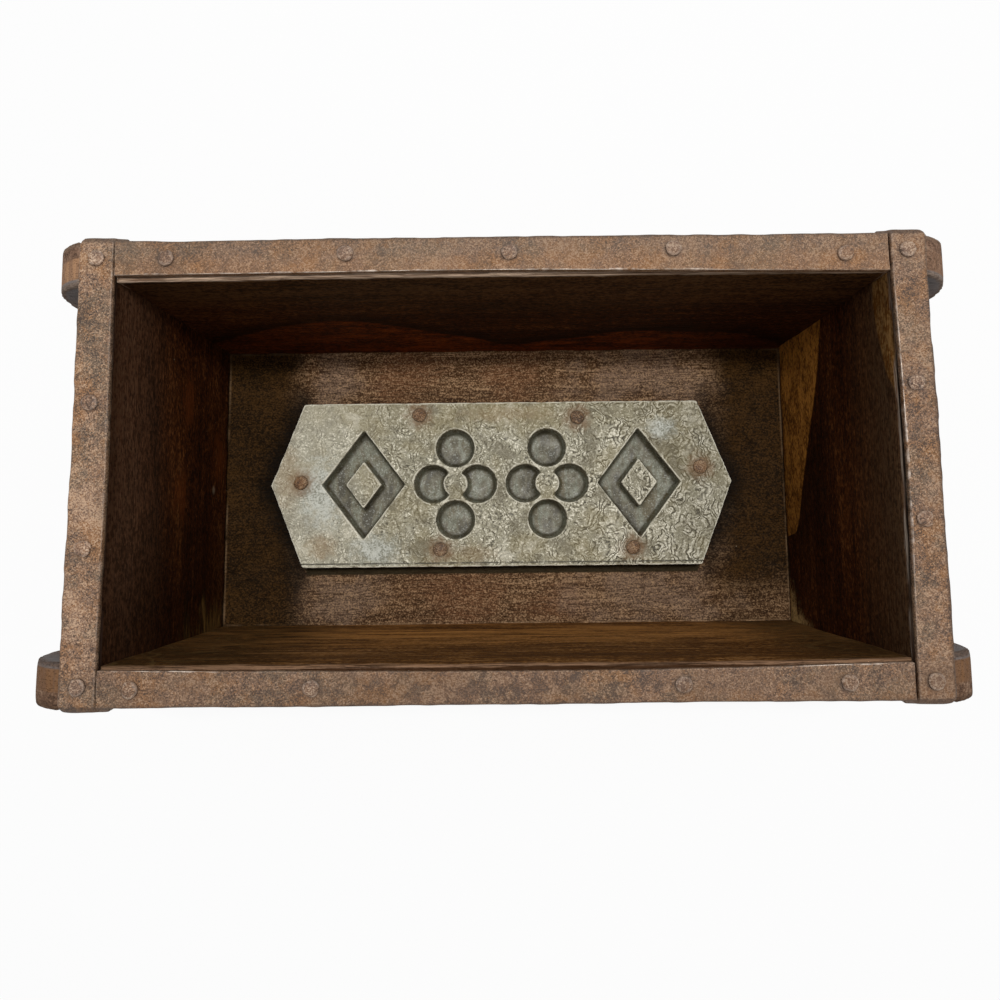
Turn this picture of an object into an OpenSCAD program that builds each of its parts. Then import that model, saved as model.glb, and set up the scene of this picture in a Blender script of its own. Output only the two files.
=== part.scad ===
// Hand brick mould: an open timber box with an iron-strapped rim, and a cast
// frog plate nailed to its floor. Millimetres, +Z up, +X along the length and
// +Y to the rear. The origin is the centre of the underside.

/* [Brick cavity] */
// Length of the cavity that shapes the brick
cavity_l = 254; // [220:1:300]
// Width of the cavity
cavity_w = 124; // [100:1:150]
// Depth from the timber rim to the floor
cavity_d = 83; // [70:1:110]

/* [Timber] */
// Thickness of the front and rear boards
side_t = 12.5; // [11:0.5:18]
// Thickness of the two end boards
end_t = 11; // [10:0.5:16]
// Thickness of the bottom board
base_t = 14; // [10:0.5:20]
// How far the front and rear boards run past the end boards, as ears to lift by
ear_l = 17; // [13:0.5:30]
// Radius of the ears' corners
ear_r = 21; // [4:0.5:30]
// Depth of the housings in the front and rear boards that hold the end boards
housing_d = 4; // [2:0.5:5]

/* [Rim straps] */
// Width of the front and rear straps
side_strap_w = 11.5; // [9:0.5:12]
// Width of the left and right straps
end_strap_w = 11.2; // [9:0.1:11.5]
// Thickness of the straps along the rim
strap_t = 2; // [1.5:0.1:3]
// Gap where a side strap butts against an end strap
strap_gap = 0.6; // [0.2:0.1:1.5]
// Thickness of the end straps' legs, hammered down over the boards
leg_t = 1.4; // [1:0.1:2]
// Length of the legs below the timber rim
leg_l = 51; // [44:1:60]
// Outer radius of the bend from the rim into a leg
bend_r = 2; // [1.5:0.1:2]
// How far a leg spreads towards the middle at its top
leg_flare = 4; // [0.5:0.1:5]
// Height over which that spread runs out
flare_h = 18; // [10:1:30]

/* [Frog plate] */
// Length of the plate from point to point
plate_l = 203.6; // [190:0.2:210]
// Width of the plate
plate_w = 72.8; // [66:0.2:80]
// Thickness of the plate
plate_t = 9; // [8:0.5:12]
// Length of the plate's straight sides
plate_side_l = 175; // [170:0.5:185]
// How far the plate sits left of the middle of the floor
plate_shift = 1.8; // [0:0.1:3]
// Depth of the plate's recesses
recess_d = 5.5; // [4.5:0.1:6]
// Distance from one motif to the next
motif_pitch = 40.6; // [40:0.1:41.5]
// Width of a motif
motif_w = 37; // [34:0.5:38]
// Height of a motif
motif_h = 49; // [46:0.5:49]

/* [Nails] */
// Radius of the domed heads in the straps
head_r = 2.6; // [2:0.1:3]
// Height of the domed heads in the straps
head_h = 1.1; // [0.8:0.1:1.5]
// Radius of the nails' shanks
shank_r = 1.1; // [0.8:0.1:1.3]
// Length of the rim nails below their heads
rim_nail_l = 22; // [16:1:22]
// Length of the nails that go through a side board into an end board
joint_nail_l = 30; // [24:1:36]
// Length of the nails that hold the bottom board
base_nail_l = 34; // [26:1:34]
// Radius of the heads in the frog plate
plate_head_r = 3.1; // [2.5:0.1:3.2]
// Height of the heads in the frog plate
plate_head_h = 1.2; // [0.8:0.1:1.5]
// Length of the nails that hold the frog plate
plate_nail_l = 20; // [16:0.5:20]
// Nails in the rear strap, as fractions of half the cavity's length
rear_nail_at = [-0.86, -0.40, 0.02, 0.44, 0.88]; // [-0.9:0.01:0.9]
// How far the same nails stray from the middle of the strap
rear_nail_off = [-0.4, 0.6, 0.3, 1, -1.3]; // [-1.5:0.1:1.5]
// Nails in the front strap, as fractions of half the cavity's length
front_nail_at = [-0.91, -0.47, 0.43, 0.83]; // [-0.92:0.01:0.92]
// Nails in the left strap, as fractions of half the body's width
left_nail_at = [-0.91, -0.34, 0.28, 0.92]; // [-0.92:0.01:0.92]
// Nails in the right strap, as fractions of half the body's width
right_nail_at = [-0.92, -0.25, 0.33, 0.92]; // [-0.92:0.01:0.92]
// Nails in the plate along its length, as fractions of half its length
plate_nail_x = [-0.87, -0.355, 0.335, 0.865, -0.265, 0.565]; // [-0.9:0.005:0.9]
// The same nails across the plate, as fractions of half its width
plate_nail_y = [0.03, 0.85, 0.80, 0.18, -0.79, -0.79]; // [-0.86:0.01:0.86]
// Nails up into the side boards, as fractions of half the cavity's length
base_nail_at = [-0.86, -0.3, 0.3, 0.86]; // [-0.88:0.01:0.88]
// Heights of the nails in the legs, below the timber rim
leg_nail_drop = [29, 44]; // [27:1:46]
// Heights of the nails below the legs, above the floor
joint_nail_rise = [8, 23]; // [6:1:24]

/* [Hidden] */
$fn = 48;

FRONT = -1;
REAR = 1;
LEFT = -1;
RIGHT = 1;

board_colour = "#4c2c18";
end_colour = "#43260f";
floor_colour = "#5c452f";
strap_colour = "#80664f";
plate_colour = "#8b8572";
nail_colour = "#6b4433";

rim_z = base_t + cavity_d;
strap_top = rim_z + strap_t;
half_l = cavity_l / 2;
half_w = cavity_w / 2;
body_half_w = half_w + side_t;
end_face_x = half_l + end_t;
board_l = 2 * (end_face_x + ear_l);
strap_edge_x = end_face_x - end_strap_w;
side_strap_l = 2 * (strap_edge_x - strap_gap);
side_strap_y = body_half_w - side_strap_w / 2;
end_nail_x = half_l + end_t / 2;
end_strap_nail_x = end_face_x - end_strap_w * 0.55;
plate_top = base_t + plate_t;
tip_l = 3;
sunk_head_r = 3.2;
sunk_head_h = 1;
sunk_depth = 1.4;
boss_ratio = 0.42;
petal_r = motif_w * 0.235;
cut = 1;

// Positions of each group of nails
rear_nails = [for (i = [0 : len(rear_nail_at) - 1])
              [rear_nail_at[i] * half_l, side_strap_y + rear_nail_off[i], strap_top]];
front_nails = [for (f = front_nail_at) [f * half_l, -side_strap_y, strap_top]];
left_nails = [for (f = left_nail_at) [-end_strap_nail_x, f * body_half_w, strap_top]];
right_nails = [for (f = right_nail_at) [end_strap_nail_x, f * body_half_w, strap_top]];
plate_nails = [for (i = [0 : len(plate_nail_x) - 1])
               [plate_nail_x[i] * plate_l / 2 - plate_shift, plate_nail_y[i] * plate_w / 2, plate_top]];
side_base_nails = [for (y = [-1, 1], f = base_nail_at) [f * half_l, y * (body_half_w - side_t / 2)]];
end_base_nails = [for (x = [LEFT, RIGHT], y = [-1, 1]) [x * end_nail_x, y * half_w / 2]];
base_nails = concat(side_base_nails, end_base_nails);

// Rectangle standing on the X axis, with its two top corners rounded
module rounded_top(w, h, r) {
    translate([-w / 2, 0]) square([w, h - r]);
    translate([-w / 2 + r, 0]) square([w - 2 * r, h]);
    for (s = [-1, 1]) translate([s * (w / 2 - r), h - r]) circle(r);
}

// Straight shank with a tapered tip, hanging below the origin
module shank(l) {
    translate([0, 0, tip_l - l]) cylinder(r = shank_r, h = l - tip_l);
    translate([0, 0, -l]) cylinder(r1 = shank_r / 4, r2 = shank_r, h = tip_l);
}

// Low dome of radius r and height h, standing on the origin
module dome(r, h) {
    ball_r = (r * r + h * h) / (2 * h);
    intersection() {
        translate([0, 0, h - ball_r]) sphere(ball_r);
        cylinder(r = r, h = h);
    }
}

// Domed nail with the underside of its head at the origin
module domed_nail(r, h, l) {
    dome(r, h);
    shank(l);
}

// Flat nail driven upwards, with its head sunk below the underside
module sunk_nail() {
    translate([0, 0, sunk_depth - sunk_head_h]) cylinder(r = sunk_head_r, h = sunk_head_h);
    translate([0, 0, sunk_depth]) rotate([180, 0, 0]) shank(base_nail_l);
}

// Moves its children to the outer face of a side board, facing out of it
module on_side_face(side, x, y, z) {
    translate([x, side * y, z]) rotate([-90 * side, 0, 0]) children();
}

// Places its children at each nail that goes through a leg
module at_leg_nails(end, side) {
    for (drop = leg_nail_drop) {
        on_side_face(side, end * end_nail_x, body_half_w + leg_t, rim_z - drop) children();
    }
}

// Places its children at each nail below a leg
module at_joint_nails(end, side) {
    for (rise = joint_nail_rise) {
        on_side_face(side, end * end_nail_x, body_half_w, base_t + rise) children();
    }
}

// Places its children at each point of a list
module at(points) {
    for (p = points) translate(p) children();
}

// Every hole that the nails make in the timber
module nail_holes() {
    at(concat(rear_nails, front_nails, left_nails, right_nails)) shank(rim_nail_l);
    at(plate_nails) shank(plate_nail_l);
    at(base_nails) {
        sunk_nail();
        cylinder(r = sunk_head_r, h = sunk_depth);
    }
    for (end = [LEFT, RIGHT], side = [FRONT, REAR]) {
        at_leg_nails(end, side) shank(joint_nail_l);
        at_joint_nails(end, side) shank(joint_nail_l);
    }
}

// Front or rear board: ears at both ends, and a housing for each end board
module side_board(side) {
    color(board_colour) difference() {
        translate([0, side * (body_half_w - side_t / 2) + side_t / 2, base_t])
            rotate([90, 0, 0]) linear_extrude(side_t) side_board_outline();
        for (end = [LEFT, RIGHT]) {
            translate([end * end_nail_x - end_t / 2, side * (half_w + housing_d / 2) - housing_d / 2, base_t - cut])
                cube([end_t, housing_d, cavity_d + 2 * cut]);
        }
        nail_holes();
    }
}

// Outline of a side board seen from the front, with all four corners of the ears rounded
module side_board_outline() {
    translate([0, cavity_d / 2]) {
        rounded_top(board_l, cavity_d / 2, ear_r);
        mirror([0, 1]) rounded_top(board_l, cavity_d / 2, ear_r);
    }
}

// Left or right end board, with its edges in the side boards' housings
module end_board(end) {
    w = cavity_w + 2 * housing_d;
    color(end_colour) difference() {
        translate([end * end_nail_x - end_t / 2, -w / 2, base_t]) cube([end_t, w, cavity_d]);
        nail_holes();
    }
}

module bottom_board() {
    color(floor_colour) difference() {
        translate([-end_face_x, -body_half_w, 0]) cube([2 * end_face_x, 2 * body_half_w, base_t]);
        nail_holes();
    }
}

// Flat strap along the rim of a side board
module side_strap(side, nails) {
    color(strap_colour) difference() {
        translate([-side_strap_l / 2, side * side_strap_y - side_strap_w / 2, rim_z])
            cube([side_strap_l, side_strap_w, strap_t]);
        at(nails) shank(rim_nail_l);
    }
}

// Strap over an end board, bent down over both side boards
module end_strap(end, nails) {
    outer_w = 2 * (body_half_w + leg_t);
    color(strap_colour) difference() {
        union() {
            translate([end * (end_face_x - end_strap_w / 2) - end_strap_w / 2, 0, rim_z - leg_l])
                rotate([90, 0, 90]) linear_extrude(end_strap_w) difference() {
                    rounded_top(outer_w, leg_l + strap_t, bend_r);
                    translate([-body_half_w, -cut]) square([2 * body_half_w, leg_l + cut]);
                }
            for (side = [FRONT, REAR]) leg_spread(end, side);
        }
        at(nails) shank(rim_nail_l);
        for (side = [FRONT, REAR]) at_leg_nails(end, side) shank(joint_nail_l);
    }
}

// The part of a leg that the hammer has spread towards the middle of the board
module leg_spread(end, side) {
    inner_x = strap_edge_x - leg_flare;
    translate([0, side * (body_half_w + leg_t / 2) + leg_t / 2, 0])
        rotate([90, 0, 0]) linear_extrude(leg_t)
            polygon([[end * (strap_edge_x + cut), rim_z], [end * inner_x, rim_z],
                     [end * strap_edge_x, rim_z - flare_h], [end * (strap_edge_x + cut), rim_z - flare_h]]);
}

// Long hexagon that is the plate's outline
module plate_outline() {
    polygon([[-plate_l / 2, 0], [-plate_side_l / 2, plate_w / 2], [plate_side_l / 2, plate_w / 2],
             [plate_l / 2, 0], [plate_side_l / 2, -plate_w / 2], [-plate_side_l / 2, -plate_w / 2]]);
}

// Diamond of width w and height h
module diamond(w, h) {
    polygon([[-w / 2, 0], [0, h / 2], [w / 2, 0], [0, -h / 2]]);
}

// Diamond recess round a raised diamond
module diamond_motif() {
    difference() {
        diamond(motif_w, motif_h);
        diamond(motif_w * boss_ratio, motif_h * boss_ratio);
    }
}

// Four petals round a raised boss
module flower_motif() {
    difference() {
        for (s = [-1, 1]) {
            translate([s * (motif_w / 2 - petal_r), 0]) circle(petal_r);
            translate([0, s * (motif_h / 2 - petal_r)]) circle(petal_r);
        }
        circle(motif_w * boss_ratio / 3);
    }
}

module frog_plate() {
    color(plate_colour) difference() {
        translate([-plate_shift, 0, base_t]) linear_extrude(plate_t) plate_outline();
        for (i = [0 : 3]) {
            translate([(i - 1.5) * motif_pitch - plate_shift, 0, plate_top - recess_d])
                linear_extrude(recess_d + cut) {
                    if (i == 0 || i == 3) diamond_motif();
                    else flower_motif();
                }
        }
        at(plate_nails) shank(plate_nail_l);
    }
}

module rim_nails(points) {
    color(nail_colour) at(points) domed_nail(head_r, head_h, rim_nail_l);
}

module leg_nails(end) {
    color(nail_colour) for (side = [FRONT, REAR]) {
        at_leg_nails(end, side) domed_nail(head_r, head_h, joint_nail_l);
    }
}

module joint_nails(end) {
    color(nail_colour) for (side = [FRONT, REAR]) {
        at_joint_nails(end, side) domed_nail(head_r, head_h, joint_nail_l);
    }
}

module frog_plate_nails() {
    color(nail_colour) at(plate_nails) domed_nail(plate_head_r, plate_head_h, plate_nail_l);
}

module bottom_nails() {
    color(nail_colour) at(base_nails) sunk_nail();
}

bottom_board();
side_board(FRONT);  // front_board
side_board(REAR);  // rear_board
end_board(LEFT);  // left_end_board
end_board(RIGHT);  // right_end_board
side_strap(FRONT, front_nails);  // front_strap
side_strap(REAR, rear_nails);  // rear_strap
end_strap(LEFT, left_nails);  // left_strap
end_strap(RIGHT, right_nails);  // right_strap
frog_plate();
frog_plate_nails();
rim_nails(front_nails);  // front_strap_nails
rim_nails(rear_nails);  // rear_strap_nails
rim_nails(left_nails);  // left_strap_nails
rim_nails(right_nails);  // right_strap_nails
leg_nails(LEFT);  // left_leg_nails
leg_nails(RIGHT);  // right_leg_nails
joint_nails(LEFT);  // left_joint_nails
joint_nails(RIGHT);  // right_joint_nails
bottom_nails();
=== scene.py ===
"""Brick mould seen from above: worn timber, iron straps, hand-made nails and a cast frog plate.

Every length is in metres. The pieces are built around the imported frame, in its own coordinates: +X along
the length, +Y to the rear and +Z up. MM turns a size in millimetres into metres. Materials work in
millimetres, because Ground.read scales the Object coordinates.
"""

from __future__ import annotations

import logging
import math
from collections.abc import Callable, Sequence
from dataclasses import dataclass, field
from enum import Enum

import bpy
import numpy as np
from mathutils import Matrix, Vector, noise

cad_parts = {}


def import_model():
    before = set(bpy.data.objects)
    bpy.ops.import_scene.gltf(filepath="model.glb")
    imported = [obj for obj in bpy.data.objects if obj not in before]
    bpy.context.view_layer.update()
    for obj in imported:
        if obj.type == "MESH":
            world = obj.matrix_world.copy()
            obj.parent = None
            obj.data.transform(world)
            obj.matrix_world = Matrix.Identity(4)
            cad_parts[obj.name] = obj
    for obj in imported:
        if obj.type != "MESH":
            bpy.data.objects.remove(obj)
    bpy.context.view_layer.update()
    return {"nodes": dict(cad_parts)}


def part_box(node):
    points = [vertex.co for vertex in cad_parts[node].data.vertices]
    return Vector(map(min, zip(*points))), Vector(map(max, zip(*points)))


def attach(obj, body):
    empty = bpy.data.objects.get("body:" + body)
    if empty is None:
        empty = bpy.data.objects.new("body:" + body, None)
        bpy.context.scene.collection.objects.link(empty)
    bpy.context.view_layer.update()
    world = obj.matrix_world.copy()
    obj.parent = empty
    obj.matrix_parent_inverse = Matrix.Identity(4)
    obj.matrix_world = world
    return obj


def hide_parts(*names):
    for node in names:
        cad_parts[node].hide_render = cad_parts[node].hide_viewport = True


MM = 0.001
BODY = "root"

Colour = tuple[float, float, float]
Point = tuple[float, float, float]
Line = tuple[tuple[float, float], ...]
Piece = bpy.types.Object
Material = bpy.types.Material
Tree = bpy.types.NodeTree
Socket = bpy.types.NodeSocket
Sockets = bpy.types.bpy_prop_collection
Values = dict[str | int, object]
Stretch = tuple[float, float]

log = logging.getLogger("brick_mould")


class Layer(Enum):
    """Numbers stored with the vertices for the materials to read."""

    EDGE = "edge"
    HOLLOW = "hollow"
    NAIL = "nail"


class Side(Enum):
    """The two long sides of the box, as the sign of Y."""

    FRONT = -1
    REAR = 1


class End(Enum):
    """The two ends of the box, as the sign of X."""

    LEFT = -1
    RIGHT = 1


class Grain(Enum):
    """The way a board's fibres run, as the order in which its axes are read."""

    ALONG_X = ("x", "y", "z")
    ALONG_Y = ("y", "x", "z")


def srgb(red: int, green: int, blue: int) -> Colour:
    """Turns a display colour into the linear colour that a shader socket takes.

    Args:
        red: Red from 0 to 255.
        green: Green from 0 to 255.
        blue: Blue from 0 to 255.

    Returns:
        The linear red, green and blue.
    """

    def linear(value: int) -> float:
        """Undoes the display curve for one channel."""
        part = value / 255
        return part / 12.92 if part <= 0.04045 else ((part + 0.055) / 1.055) ** 2.4

    return linear(red), linear(green), linear(blue)


def clouds(places: np.ndarray, size: float, seed: float = 0.0) -> np.ndarray:
    """Reads soft noise at many places.

    Args:
        places: The places, one row each.
        size: Size of the lumps.
        seed: Moves the pattern to another part of the noise.

    Returns:
        One value for each place, from about -1 to 1.
    """
    shift = Vector((seed, seed * 0.7, seed * 1.3))
    return np.array([noise.noise(Vector(place) + shift) for place in places / size]) * 1.6


@dataclass(frozen=True)
class Sizes:
    """Sizes of the mould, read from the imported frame."""

    floor_z: float
    rim_z: float
    strap_z: float
    half_l: float
    half_w: float
    outer_y: float
    end_x: float
    ear_x: float
    housing_y: float

    @classmethod
    def from_frame(cls) -> Sizes:
        """Reads the sizes from the nodes' boxes.

        Returns:
            The sizes in metres.
        """
        floor_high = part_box("bottom_board")[1]
        side_low, side_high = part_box("rear_board")
        end_low, end_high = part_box("right_end_board")
        strap_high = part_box("rear_strap")[1]
        return cls(
            floor_z=floor_high.z,
            rim_z=side_high.z,
            strap_z=strap_high.z,
            half_l=end_low.x,
            half_w=side_low.y,
            outer_y=side_high.y,
            end_x=end_high.x,
            ear_x=side_high.x,
            housing_y=end_high.y,
        )


@dataclass(frozen=True)
class Sway:
    """How far a straight edge wanders, given at even steps along its length in millimetres."""

    steps: tuple[float, ...]

    def at(self, along: np.ndarray, low: float, high: float) -> np.ndarray:
        """Reads the wander at places between two ends.

        Args:
            along: The places.
            low: Where the first step lies.
            high: Where the last step lies.

        Returns:
            The offset in metres at each place.
        """
        stations = np.linspace(low, high, len(self.steps))
        window = 9
        fine = np.linspace(low, high, 8 * len(self.steps))
        padded = np.pad(np.interp(fine, stations, self.steps), window // 2, "edge")
        return np.interp(along, fine, np.convolve(padded, np.ones(window) / window, "valid")) * MM


class Bench:
    """Modelling steps that every piece shares, done with Blender's own operators."""

    @staticmethod
    def clear() -> None:
        """Leaves edit mode and deselects everything."""
        if bpy.context.mode != "OBJECT":
            bpy.ops.object.mode_set(mode="OBJECT")
        bpy.ops.object.select_all(action="DESELECT")

    @staticmethod
    def take(name: str) -> Piece:
        """Names the primitive just added, and moves its place into its mesh.

        Args:
            name: Name of the piece.

        Returns:
            The object, with its origin at the frame's origin.
        """
        obj = bpy.context.active_object
        obj.name = name
        obj.data.name = name
        bpy.ops.object.transform_apply(location=True, rotation=True, scale=True)
        return obj

    @classmethod
    def block(cls, name: str, low: Sequence[float], high: Sequence[float]) -> Piece:
        """Adds a cube that fills a box.

        Args:
            name: Name of the piece.
            low: Lowest corner.
            high: Highest corner.

        Returns:
            The new object.
        """
        cls.clear()
        low, high = Vector(low), Vector(high)
        bpy.ops.mesh.primitive_cube_add(size=1, location=(low + high) / 2, scale=high - low)
        return cls.take(name)

    @classmethod
    def cone(
        cls,
        name: str,
        corners: int,
        radii: tuple[float, float],
        base: Sequence[float],
        height: float,
        stretch: Stretch = (1, 1),
    ) -> Piece:
        """Adds an upright cylinder, frustum or pyramid.

        Args:
            name: Name of the piece.
            corners: Number of sides.
            radii: Radius at the base and at the top.
            base: Centre of the base.
            height: Height.
            stretch: Stretch along X and Y.

        Returns:
            The new object.
        """
        cls.clear()
        bpy.ops.mesh.primitive_cone_add(
            vertices=corners,
            radius1=radii[0],
            radius2=radii[1],
            depth=height,
            location=(base[0], base[1], base[2] + height / 2),
            scale=(*stretch, 1),
        )
        return cls.take(name)

    @classmethod
    def activate(cls, obj: Piece) -> None:
        """Makes one object the only selected and active one."""
        cls.clear()
        obj.select_set(True)
        bpy.context.view_layer.objects.active = obj

    @classmethod
    def pick(cls, obj: Piece, kind: str, test: Callable[..., bool]) -> None:
        """Enters edit mode with only the elements that pass a test selected.

        Args:
            obj: The piece.
            kind: VERT, EDGE or FACE.
            test: Takes a vertex's place, an edge's two places, or a face's centre and normal.
        """
        cls.activate(obj)
        bpy.ops.object.mode_set(mode="EDIT")
        bpy.ops.mesh.select_mode(type=kind)
        bpy.ops.mesh.select_all(action="DESELECT")
        bpy.ops.object.mode_set(mode="OBJECT")
        mesh = obj.data
        if kind == "VERT":
            for vertex in mesh.vertices:
                vertex.select = test(vertex.co)
        elif kind == "EDGE":
            for edge in mesh.edges:
                edge.select = test(*(mesh.vertices[i].co for i in edge.vertices))
        else:
            for face in mesh.polygons:
                face.select = test(face.center, face.normal)
        bpy.ops.object.mode_set(mode="EDIT")

    @staticmethod
    def extrude(x: float, y: float, z: float) -> None:
        """Pulls new faces out of the selected ones."""
        bpy.ops.mesh.extrude_region_move(TRANSFORM_OT_translate={"value": (x, y, z)})

    @classmethod
    def apply(cls, obj: Piece, kind: str, **settings: object) -> None:
        """Adds a modifier, sets it and applies it.

        Args:
            obj: The piece.
            kind: Blender's name for the modifier type.
            settings: The modifier's own settings.
        """
        cls.activate(obj)
        modifier = obj.modifiers.new(kind.title(), kind)
        for key, value in settings.items():
            setattr(modifier, key, value)
        bpy.ops.object.modifier_apply(modifier=modifier.name)

    @classmethod
    def combine(cls, obj: Piece, other: Piece, operation: str) -> None:
        """Joins or cuts a piece with another, which is then removed.

        Args:
            obj: The piece that stays.
            other: The tool that goes.
            operation: UNION or DIFFERENCE.
        """
        cls.apply(obj, "BOOLEAN", object=other, operation=operation, solver="EXACT")
        bpy.data.objects.remove(other)

    @classmethod
    def refine(cls, obj: Piece, voxel: float, smooth: int = 2) -> None:
        """Gives a piece an even mesh with softened edges.

        Args:
            obj: The piece.
            voxel: Size of a face.
            smooth: Rounds of smoothing.
        """
        cls.apply(obj, "REMESH", mode="VOXEL", voxel_size=voxel, use_smooth_shade=True)
        cls.apply(obj, "SMOOTH", factor=0.5, iterations=smooth)

    @classmethod
    def thin_out(cls, obj: Piece, most: int) -> None:
        """Merges faces where the surface is flat, until a number of triangles is left.

        Args:
            obj: The piece.
            most: Most triangles to keep.
        """
        triangles = 2 * len(obj.data.polygons)
        if triangles > most:
            cls.apply(obj, "DECIMATE", ratio=most / triangles)

    @classmethod
    def unsettle(cls, obj: Piece, size: float, height: float) -> None:
        """Displaces a surface with soft clouds, as hammering or wear leaves it.

        Args:
            obj: The piece.
            size: Size of the lumps.
            height: Height from the lowest to the highest.
        """
        lumps = bpy.data.textures.new(f"{obj.name}_lumps", "CLOUDS")
        lumps.noise_scale = size
        lumps.noise_depth = 2
        settings = {"texture_coords": "LOCAL", "direction": "NORMAL", "strength": height}
        cls.apply(obj, "DISPLACE", texture=lumps, **settings)

    @staticmethod
    def points(obj: Piece) -> np.ndarray:
        """Returns the vertices' places, one row each."""
        places = np.empty(len(obj.data.vertices) * 3)
        obj.data.vertices.foreach_get("co", places)
        return places.reshape(-1, 3)

    @staticmethod
    def normals(obj: Piece) -> np.ndarray:
        """Returns the vertices' normals, one row each."""
        directions = np.empty(len(obj.data.vertices) * 3)
        obj.data.vertices.foreach_get("normal", directions)
        return directions.reshape(-1, 3)

    @staticmethod
    def move_points(obj: Piece, places: np.ndarray) -> None:
        """Puts the vertices at new places."""
        obj.data.vertices.foreach_set("co", places.ravel())
        obj.data.update()

    @staticmethod
    def store(obj: Piece, layer: Layer, values: np.ndarray) -> None:
        """Keeps one number for each vertex, for the materials to read."""
        attributes = obj.data.attributes
        data = attributes.get(layer.value) or attributes.new(layer.value, "FLOAT", "POINT")
        data.data.foreach_set("value", values.astype(np.float32))

    @classmethod
    def relief(cls, obj: Piece, rounds: int, reach: float) -> np.ndarray:
        """Measures how far each vertex stands out from the smoothed shape.

        Args:
            obj: The piece.
            rounds: Rounds of smoothing to compare with.
            reach: The distance that counts as full.

        Returns:
            One value for each vertex, 1 on a ridge and -1 in a groove.
        """
        ends = np.empty(len(obj.data.edges) * 2, np.int32)
        obj.data.edges.foreach_get("vertices", ends)
        first, second = ends[0::2], ends[1::2]
        start = cls.points(obj)
        count = len(start)
        degree = np.bincount(ends, minlength=count)
        soft = start.copy()
        for _ in range(rounds):
            sums = [
                np.bincount(first, soft[second, axis], count) + np.bincount(second, soft[first, axis], count)
                for axis in range(3)
            ]
            soft = np.stack(sums, 1) / degree[:, None]
        standing = np.einsum("ij,ij->i", start - soft, cls.normals(obj)) / reach
        return np.clip(standing, -1, 1)

    @classmethod
    def wear_edges(cls, obj: Piece, depth: float, size: float, rounds: int, reach: float) -> None:
        """Rubs a piece's ridges down unevenly, then marks its edges for the materials.

        Args:
            obj: The piece.
            depth: Most that a ridge loses.
            size: Size of the worn places.
            rounds: Rounds of smoothing used to find the ridges.
            reach: The distance that counts as a full edge.
        """
        ridge = np.clip(cls.relief(obj, rounds, reach), 0, 1)
        places = cls.points(obj)
        chosen = np.nonzero(ridge > 0.05)[0]
        bite = np.clip(clouds(places[chosen], size) + 0.35, 0, 1) * ridge[chosen] * depth
        places[chosen] -= cls.normals(obj)[chosen] * bite[:, None]
        cls.move_points(obj, places)
        cls.store(obj, Layer.EDGE, cls.relief(obj, rounds, reach))

    @classmethod
    def join(cls, name: str, parts: Sequence[Piece]) -> Piece:
        """Makes one object of several.

        Args:
            name: Name of the result.
            parts: The objects to join.

        Returns:
            The joined object.
        """
        cls.activate(parts[0])
        for part in parts:
            part.select_set(True)
        bpy.ops.object.join()
        parts[0].name = name
        parts[0].data.name = name
        return parts[0]

    @classmethod
    def loose_boxes(cls, node: Piece) -> list[tuple[Vector, Vector]]:
        """Finds the separate solids of a CAD node on a copy of it.

        Args:
            node: The CAD node's object.

        Returns:
            The lowest and highest corner of each solid.
        """
        cls.clear()
        copy = bpy.data.objects.new("measure", node.data.copy())
        bpy.context.scene.collection.objects.link(copy)
        cls.activate(copy)
        bpy.ops.object.mode_set(mode="EDIT")
        bpy.ops.mesh.select_all(action="SELECT")
        bpy.ops.mesh.remove_doubles(threshold=0.01 * MM)
        bpy.ops.mesh.separate(type="LOOSE")
        bpy.ops.object.mode_set(mode="OBJECT")
        boxes = []
        for part in list(bpy.context.selected_objects):
            places = cls.points(part)
            boxes.append((Vector(places.min(0)), Vector(places.max(0))))
            bpy.data.objects.remove(part)
        return sorted(boxes, key=lambda box: tuple(box[0]))

    @classmethod
    def hand_over(cls, obj: Piece, material: Material, slot: str, node: str) -> None:
        """Dresses a finished piece and ties it to the frame.

        Args:
            obj: The piece.
            material: Its finish.
            slot: The record's material slot; not used.
            node: The CAD node that it stands for.
        """
        obj.data.materials.clear()
        obj.data.materials.append(material)
        cls.activate(obj)
        bpy.ops.object.shade_smooth()
        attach(obj, BODY)
        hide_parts(node)
        log.info("%s: %d faces", obj.name, len(obj.data.polygons))


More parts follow.
